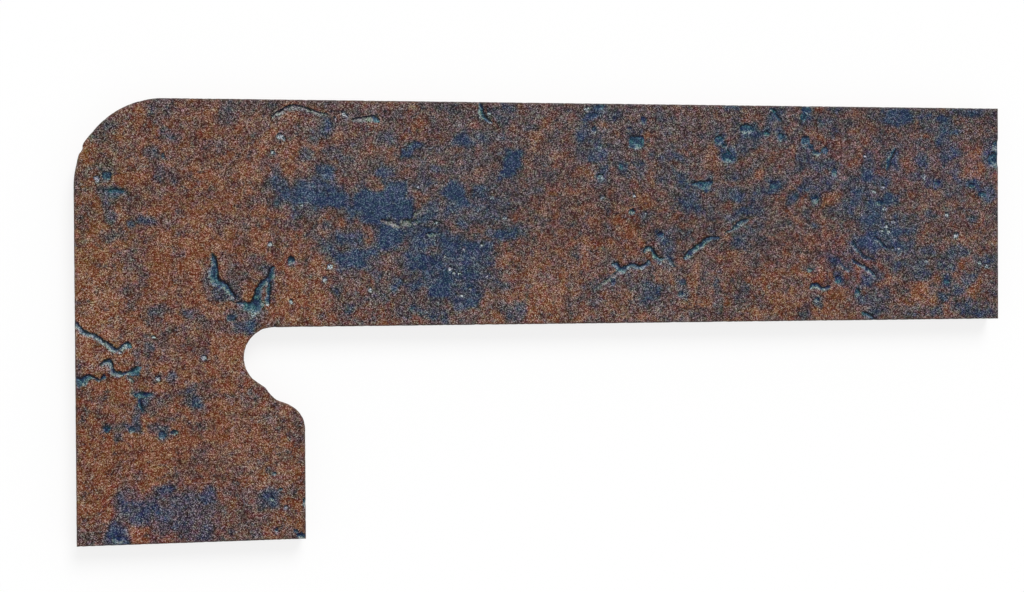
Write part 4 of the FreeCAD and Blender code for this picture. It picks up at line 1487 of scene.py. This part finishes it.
# %% Raw clay of the back
clay.use_nodes = True
clay_tree = clay.node_tree
clay_place = in_millimetres(clay_tree)
clay_body = add_node(clay_tree, "ShaderNodeGroup", {"Place": clay_place}, node_tree=body_group).outputs
drawn_out = (0.05, 1.0, 1.0)         # the drag's noise runs twenty times as far along X
drag = cloud(clay_tree, vector_maths(clay_tree, "MULTIPLY", {0: clay_place, 1: drawn_out}), 1.1, 3.0, 0.6)
dragged = spread(clay_tree, drag, 0.35, 0.65, 0.0, 0.35)
clay_height = calc(clay_tree, "MULTIPLY_ADD", drag, 1.4, clay_body["Height"])
clay_relief = {"Strength": 0.5, "Distance": 0.2 * mm, "Height": clay_height}
clay_shader = clay_tree.nodes["Principled BSDF"].inputs
connect(clay_tree, {
    "Base Color": mix(clay_tree, dragged, clay_body["Color"], paint(104, 66, 51)),
    "Roughness": clay_body["Roughness"],
    "Normal": add_node(clay_tree, "ShaderNodeBump", clay_relief).outputs["Normal"],
}, clay_shader)
clay_shader["Specular IOR Level"].default_value = 0.25
print("raw clay nodes:", len(clay_tree.nodes))

# %% [markdown]
# The glaze is one colour scale, from rust through brown and grey-violet to blue. Each point gets
# a place on that scale: the bloom density and the fields of tone from the mesh, plus noise of
# several sizes. Drawing blue and rust from one scale keeps them related, as they are in the
# kiln, where both come from the same oxide. The scale's colours are kept as a screen shows
# them until light and dark have been added.

# %% Glaze: place on the colour scale
glaze.use_nodes = True
tree = glaze.node_tree
place = in_millimetres(tree)
scale_span = 107 / 255   # red minus blue, from one end of the scale to the other
rust_place, bloom_reach, redness_pull = 0.3, 0.735, 0.9


def on_screen(red, green, blue):
    """A colour as a screen shows it, with channels from 0 to 1."""
    return (red / 255, green / 255, blue / 255, 1.0)


mottles = {
    "broad": (24.0, 0.28, 3.0), "wide": (9.0, 0.38, 11.0),
    "middle": (4.4, 0.53, 17.0), "small": (2.3, 0.28, 23.0),
}
fleck_weight = 0.2
mottled = swing_clouds(tree, 0.0, place, mottles)
flecks = spread(tree, cloud(tree, place, 2.1, 2.0, 0.55, seed=29.0), 0.57, 0.66)
mottled = calc(tree, "MULTIPLY_ADD", flecks, fleck_weight, mottled)
blueness = calc(tree, "MULTIPLY_ADD", attribute(tree, "bloom"), bloom_reach, rust_place)
redness_step = -redness_pull / (255 * scale_span)
blueness = calc(tree, "MULTIPLY_ADD", attribute(tree, "redness"), redness_step, blueness)
blueness = calc(tree, "ADD", blueness, mottled)

scale = add_node(tree, "ShaderNodeValToRGB", {"Fac": blueness})
scale_steps = [
    (0.00, (127, 84, 56)), (0.13, (117, 82, 62)), (0.25, (107, 79, 70)), (0.39, (95, 77, 75)),
    (0.56, (81, 74, 79)), (0.74, (68, 72, 87)), (0.89, (54, 68, 89)), (1.00, (40, 62, 88)),
]
while len(scale.color_ramp.elements) < len(scale_steps):
    scale.color_ramp.elements.new(0.5)
for element, (position, shown) in zip(scale.color_ramp.elements, scale_steps):
    element.position = position
    element.color = on_screen(*shown)
print("steps of the scale:", len(scale.color_ramp.elements), "mottles:", len(mottles))

# %% [markdown]
# In the hollows the melt ran together to a pool of greenish glass. The steep upper wall lies in
# its own shade, which is painted in as a dark colour, and the pool is painted darker towards that
# wall and lighter towards the ramp. The ramp is pale, partly where the glaze pulled thin and
# partly as a painted highlight where it faces the light, and a thin haze of it reaches a little
# over the ramp's foot. The palest ramps are a warm grey, and the froth in a bubble is paler still.
# The facts that were carved into the mesh tell them apart, and a little noise keeps their borders
# ragged.

# %% Glaze: colours of the hollows
pool_colours = on_screen(32, 55, 82), on_screen(73, 111, 125)
# Pale ramp: thin glaze with a painted highlight where the ramp faces the light.
thin_lit_ramp_colours = on_screen(122, 138, 148), on_screen(166, 168, 162)
warm_lit_ramp_colours = on_screen(122, 119, 117), on_screen(154, 152, 148)
froth_colours = on_screen(112, 124, 136), on_screen(192, 196, 198)
haze_colour, shade_colour = on_screen(94, 98, 106), on_screen(16, 16, 24)
grain_size = 0.318
speckle_reach, patch_reach = 1.5, 0.6    # how far fine and coarse noise move a border, mm
mask_border = (-0.14, 0.18)              # mm inside a border, from the glaze to the hollow
haze_border = (-1.3, 0.0)
shade_border = (0.95, 0.35)              # mm below the steep wall, from light to its shade
ramp_border = (0.6, 1.5)                 # place across, plus twice the paleness, where the pale ramp begins: thin glaze and painted highlight
warm_pale, froth_pale = (0.62, 0.74), (0.92, 0.99)   # paleness at which a ramp turns warm, or to froth

speck_settings = {"Place": place, "Speck size": grain_size}
grain = add_node(tree, "ShaderNodeGroup", speck_settings, node_tree=grain_group).outputs
speckle = calc(tree, "SUBTRACT", cloud(tree, place, 1.0, 2.0, 0.7, seed=71.0), 0.5)
patches = cloud(tree, place, 2.2, 2.0, 0.6, seed=77.0)
paleness = attribute(tree, "hollow_pale")
across_hollow = attribute(tree, "hollow_across")
strength = attribute(tree, "hollow_strength")
shown_strength = spread(tree, strength, 0.2, 1.0)

border = calc(tree, "MULTIPLY_ADD", speckle, speckle_reach, attribute(tree, "hollow_inside"))
border = swing(tree, border, patches, patch_reach)
hollow_mask = spread(tree, border, *mask_border)
below_wall = calc(tree, "ADD", speckle, attribute(tree, "from_wall"))
# Painted shade on the steep upper wall, and on the top of a bubble.
shade = calc(tree, "MULTIPLY", hollow_mask, spread(tree, below_wall, *shade_border, 0.0, 0.92))
shade = calc(tree, "MULTIPLY", shade, spread(tree, strength, 0.2, 1.0, 0.2, 1.0))
ramp_place = calc(tree, "MULTIPLY_ADD", paleness, 2.0, across_hollow)
ramp_place = swing(tree, ramp_place, patches, 3.0)
# The pale ramp's share: thin glaze and a painted highlight, and froth in a bubble.
thin_lit_ramp_and_froth = calc(tree, "MULTIPLY", hollow_mask, spread(tree, ramp_place, *ramp_border, 0.0, 0.9))
haze = spread(tree, border, *haze_border, 0.0, 0.55)
haze = calc(tree, "MULTIPLY", haze, spread(tree, across_hollow, 0.2, 1.0))
haze = calc(tree, "MULTIPLY", haze, shown_strength)

# Painted shade: the pool is darker towards the steep wall and lighter towards the ramp.
pool_place = calc(tree, "MULTIPLY_ADD", across_hollow, 0.12, patches)
pool_shown = mix(tree, spread(tree, pool_place, 0.36, 0.58), *pool_colours)
light_patch = spread(tree, speckle, -0.15, 0.15)
lit_ramp_and_froth_shown = mix(tree, light_patch, *thin_lit_ramp_colours)
warm_lit_ramp_shown = mix(tree, light_patch, *warm_lit_ramp_colours)
froth_shown = mix(tree, spread(tree, grain["Brightness"], 0.35, 0.65), *froth_colours)
lit_ramp_and_froth_shown = mix(tree, spread(tree, paleness, *warm_pale), lit_ramp_and_froth_shown, warm_lit_ramp_shown)
lit_ramp_and_froth_shown = mix(tree, spread(tree, paleness, *froth_pale), lit_ramp_and_froth_shown, froth_shown)
pool_share = calc(tree, "MULTIPLY", hollow_mask, spread(tree, strength, 0.2, 0.8, 0.55, 0.95))
shown_colour = mix(tree, haze, scale.outputs["Color"], haze_colour)
shown_colour = mix(tree, pool_share, shown_colour, pool_shown)
shown_colour = mix(tree, thin_lit_ramp_and_froth, shown_colour, lit_ramp_and_froth_shown)
shown_colour = mix(tree, shade, shown_colour, shade_colour)
print("glaze nodes with its hollows:", len(tree.nodes))

# %% [markdown]
# Every speck is lighter or darker than its neighbour by about the same step in red, green and
# blue, as a screen shows them. So the light and dark are added to all three channels of the
# screen's colour, a tint moves green against the other two, and only then a gamma of 2.2 makes
# the colour linear. The relief's own shading scales a strong channel more than a weak one, so
# the strong one is held back a little here. No speck is made so dark that a channel would run
# out, because that would shift its hue. Inside the hollows the glass is smoother, and its specks
# are weaker.

# %% Glaze: light and dark specks
grain_weight, hollow_grain, base_light = 1.18, 0.65, -0.129
rust_lighter = 0.045     # how much lighter the reddest mottles are
darkest = 0.03           # the lowest value of a channel
evenness = 0.95          # how far the strong channel is held back
dapples = {"wide": (7.0, 0.14, 41.0), "middle": (3.1, 0.105, 47.0)}
tints = {"fine": (1.9, 0.08, 61.0), "middle": (4.0, 0.03, 67.0), "broad": (9.0, 0.01, 73.0)}
tint_signs = (-0.5, 1.0, -0.5)
cast_weight = 1 / (1.5 * 255)        # a cast of 1 moves green 1 step of 255 away from red and blue

light = calc(tree, "MULTIPLY", calc(tree, "SUBTRACT", grain["Brightness"], 0.5), grain_weight)
light = calc(tree, "MULTIPLY_ADD", mottled, -rust_lighter, light)
light = swing_clouds(tree, light, place, dapples)
light = calc(tree, "MULTIPLY", light, spread(tree, hollow_mask, 0.0, 1.0, 1.0, hollow_grain))
field_light = calc(tree, "MULTIPLY_ADD", attribute(tree, "lightness"), 1 / 255, base_light)
light = calc(tree, "ADD", light, field_light)

channels = add_node(tree, "ShaderNodeSeparateColor", {"Color": shown_colour}).outputs[:3]
red, green, blue = channels
lowest = calc(tree, "MINIMUM", calc(tree, "MINIMUM", red, green), blue)
light = calc(tree, "MAXIMUM", light, calc(tree, "SUBTRACT", darkest, lowest))
mean_channel = calc(tree, "DIVIDE", calc(tree, "ADD", calc(tree, "ADD", red, green), blue), 3.0)

greenness = calc(tree, "MULTIPLY", attribute(tree, "greenness"), cast_weight)
greenness = swing_clouds(tree, greenness, place, tints)
shown_channels = []
for channel, sign in zip(channels, tint_signs):
    held_back = calc(tree, "MULTIPLY_ADD", calc(tree, "SUBTRACT", channel, mean_channel), -evenness, 1.0)
    lit = calc(tree, "MULTIPLY_ADD", light, held_back, channel)
    shown_channels.append(calc(tree, "MULTIPLY_ADD", greenness, sign, lit))
shown = add_node(tree, "ShaderNodeCombineColor", dict(enumerate(shown_channels))).outputs[0]
glaze_colour = add_node(tree, "ShaderNodeGamma", {"Color": shown, "Gamma": 2.2}).outputs[0]
worn = calc(tree, "MULTIPLY", attribute(tree, "wear"), spread(tree, speckle, -0.2, 0.2, 0.1, 0.6))
coloured = mix(tree, worn, glaze_colour, paint(92, 84, 80))
print("glaze nodes with light and dark:", len(tree.nodes))

# %% [markdown]
# The glaze was sprayed on the face and ran a few millimetres down the walls. Below that, the
# walls show the fired body. The border between them is a height that wavers with noise.

# %% Glaze: run down the wall
glaze_end = (6.3, 7.2)               # heights between which the run glaze ends, mm
run_waver = 9.0          # how far noise moves that border, mm
height = add_node(tree, "ShaderNodeSeparateXYZ", {"Vector": place}).outputs["Z"]
run = cloud(tree, place, 7.0, 4.0, 0.6, seed=83.0)
glazed = spread(tree, swing(tree, height, run, run_waver), *glaze_end)
wall_body = add_node(tree, "ShaderNodeGroup", {"Place": place}, node_tree=body_group).outputs

glaze_roughness = spread(tree, blueness, 0.3, 0.8, 0.62, 0.42)
glaze_roughness = calc(tree, "MULTIPLY_ADD", hollow_mask, -0.18, glaze_roughness)
rougher = calc(tree, "SUBTRACT", wall_body["Roughness"], glaze_roughness)
rougher = calc(tree, "MULTIPLY", rougher, calc(tree, "SUBTRACT", 1.0, glazed))

surface_height = calc(tree, "MULTIPLY_ADD", speckle, 0.8, grain["Height"])
surface_height = calc(tree, "MULTIPLY", surface_height, spread(tree, hollow_mask, 0.0, 0.8, 1.0, 0.4))
surface_height = calc(tree, "MULTIPLY_ADD", hollow_mask, -1.1, surface_height)
glaze_relief = {"Strength": 0.6, "Distance": 0.18 * mm, "Height": surface_height}
glaze_shader = tree.nodes["Principled BSDF"].inputs
connect(tree, {
    "Base Color": mix(tree, glazed, wall_body["Color"], coloured),
    "Roughness": calc(tree, "ADD", glaze_roughness, rougher),
    "Normal": add_node(tree, "ShaderNodeBump", glaze_relief).outputs["Normal"],
}, glaze_shader)
glaze_shader["Specular IOR Level"].default_value = 0.15
print("glaze nodes:", len(tree.nodes))

# %% [markdown]
# The light is plain: a broad sun, low enough to draw the relief, and an even sky. Together they
# put exactly as much light on the flat face as makes a colour render as it is written. White
# is only what the camera and reflections see behind the object, so it adds nothing to that.

# %% Light and background
sun_share = 0.5          # of the light on the flat face
sun_rise = np.radians(48)
sun_width = np.radians(30)           # a broad sun throws soft shadows
sun_from = np.array([0.25, 1.0])
sun_from = sun_from / np.linalg.norm(sun_from) * np.cos(sun_rise)

sun = bpy.data.objects.new("key_light", bpy.data.lights.new("key_light", "SUN"))
sun.data.energy = float(sun_share * np.pi / np.sin(sun_rise))
sun.data.angle = sun_width
toward_sun = np.array([*sun_from, np.sin(sun_rise)])
sun_right = np.cross([0, 0, 1], toward_sun)
sun_right /= np.linalg.norm(sun_right)
sun_axes = np.eye(4)
sun_axes[:3, :3] = np.column_stack([sun_right, np.cross(toward_sun, sun_right), toward_sun])
sun.matrix_world = Matrix(sun_axes.tolist())
bpy.context.scene.collection.objects.link(sun)

world = bpy.data.worlds.new("studio")
world.use_nodes = True
world.node_tree.nodes.clear()
bpy.context.scene.world = world


def seen_directly(tree):
    """1 for camera rays and for what gloss and glass show, 0 for the rays that carry light."""
    rays = add_node(tree, "ShaderNodeLightPath").outputs
    seen = calc(tree, "MAXIMUM", rays["Is Camera Ray"], rays["Is Glossy Ray"])
    return calc(tree, "MAXIMUM", seen, rays["Is Transmission Ray"])


sky = add_node(world.node_tree, "ShaderNodeBackground", {"Color": (1, 1, 1, 1), "Strength": 1 - sun_share})
white = add_node(world.node_tree, "ShaderNodeBackground", {"Color": (1, 1, 1, 1), "Strength": 1.0})
both_skies = add_node(world.node_tree, "ShaderNodeMixShader",
                      {0: seen_directly(world.node_tree), 1: sky.outputs[0], 2: white.outputs[0]})
add_node(world.node_tree, "ShaderNodeOutputWorld", {"Surface": both_skies.outputs[0]})
print("sun:", round(sun.data.energy, 3), "sky:", 1 - sun_share)

# %% [markdown]
# The floor is pale and plain. Part of its white is its own glow, which only the camera and
# reflections see, so the tile's shadow stays but is soft and light. It lies a hair below the
# tile's back.

# %% Floor
floor_size, floor_gap, floor_albedo = 8000.0, 0.4, 0.2
corner = floor_size / 2
floor_points = np.array([(-corner, -corner), (corner, -corner), (corner, corner), (-corner, corner)])
floor_points = np.column_stack([floor_points, np.full(4, back_z - floor_gap)])
floor = bpy.data.objects.new("floor", new_mesh("floor", floor_points, np.array([[0, 1, 2, 3]])))
bpy.context.scene.collection.objects.link(floor)
floor_finish = bpy.data.materials.new("pale_floor")
floor_finish.use_nodes = True
floor_tree = floor_finish.node_tree
floor_shader = floor_tree.nodes["Principled BSDF"]
floor_shader.inputs["Base Color"].default_value = (floor_albedo, floor_albedo, floor_albedo, 1)
floor_shader.inputs["Roughness"].default_value = 1.0
floor_shader.inputs["Specular IOR Level"].default_value = 0.0
glow = calc(floor_tree, "MULTIPLY", seen_directly(floor_tree), 1 - floor_albedo)
floor_shader.inputs["Emission Color"].default_value = (1, 1, 1, 1)
floor_tree.links.new(glow, floor_shader.inputs["Emission Strength"])
floor.data.materials.append(floor_finish)
print("floor at height, mm:", back_z - floor_gap)

bpy.context.scene.view_settings.view_transform = "Standard"
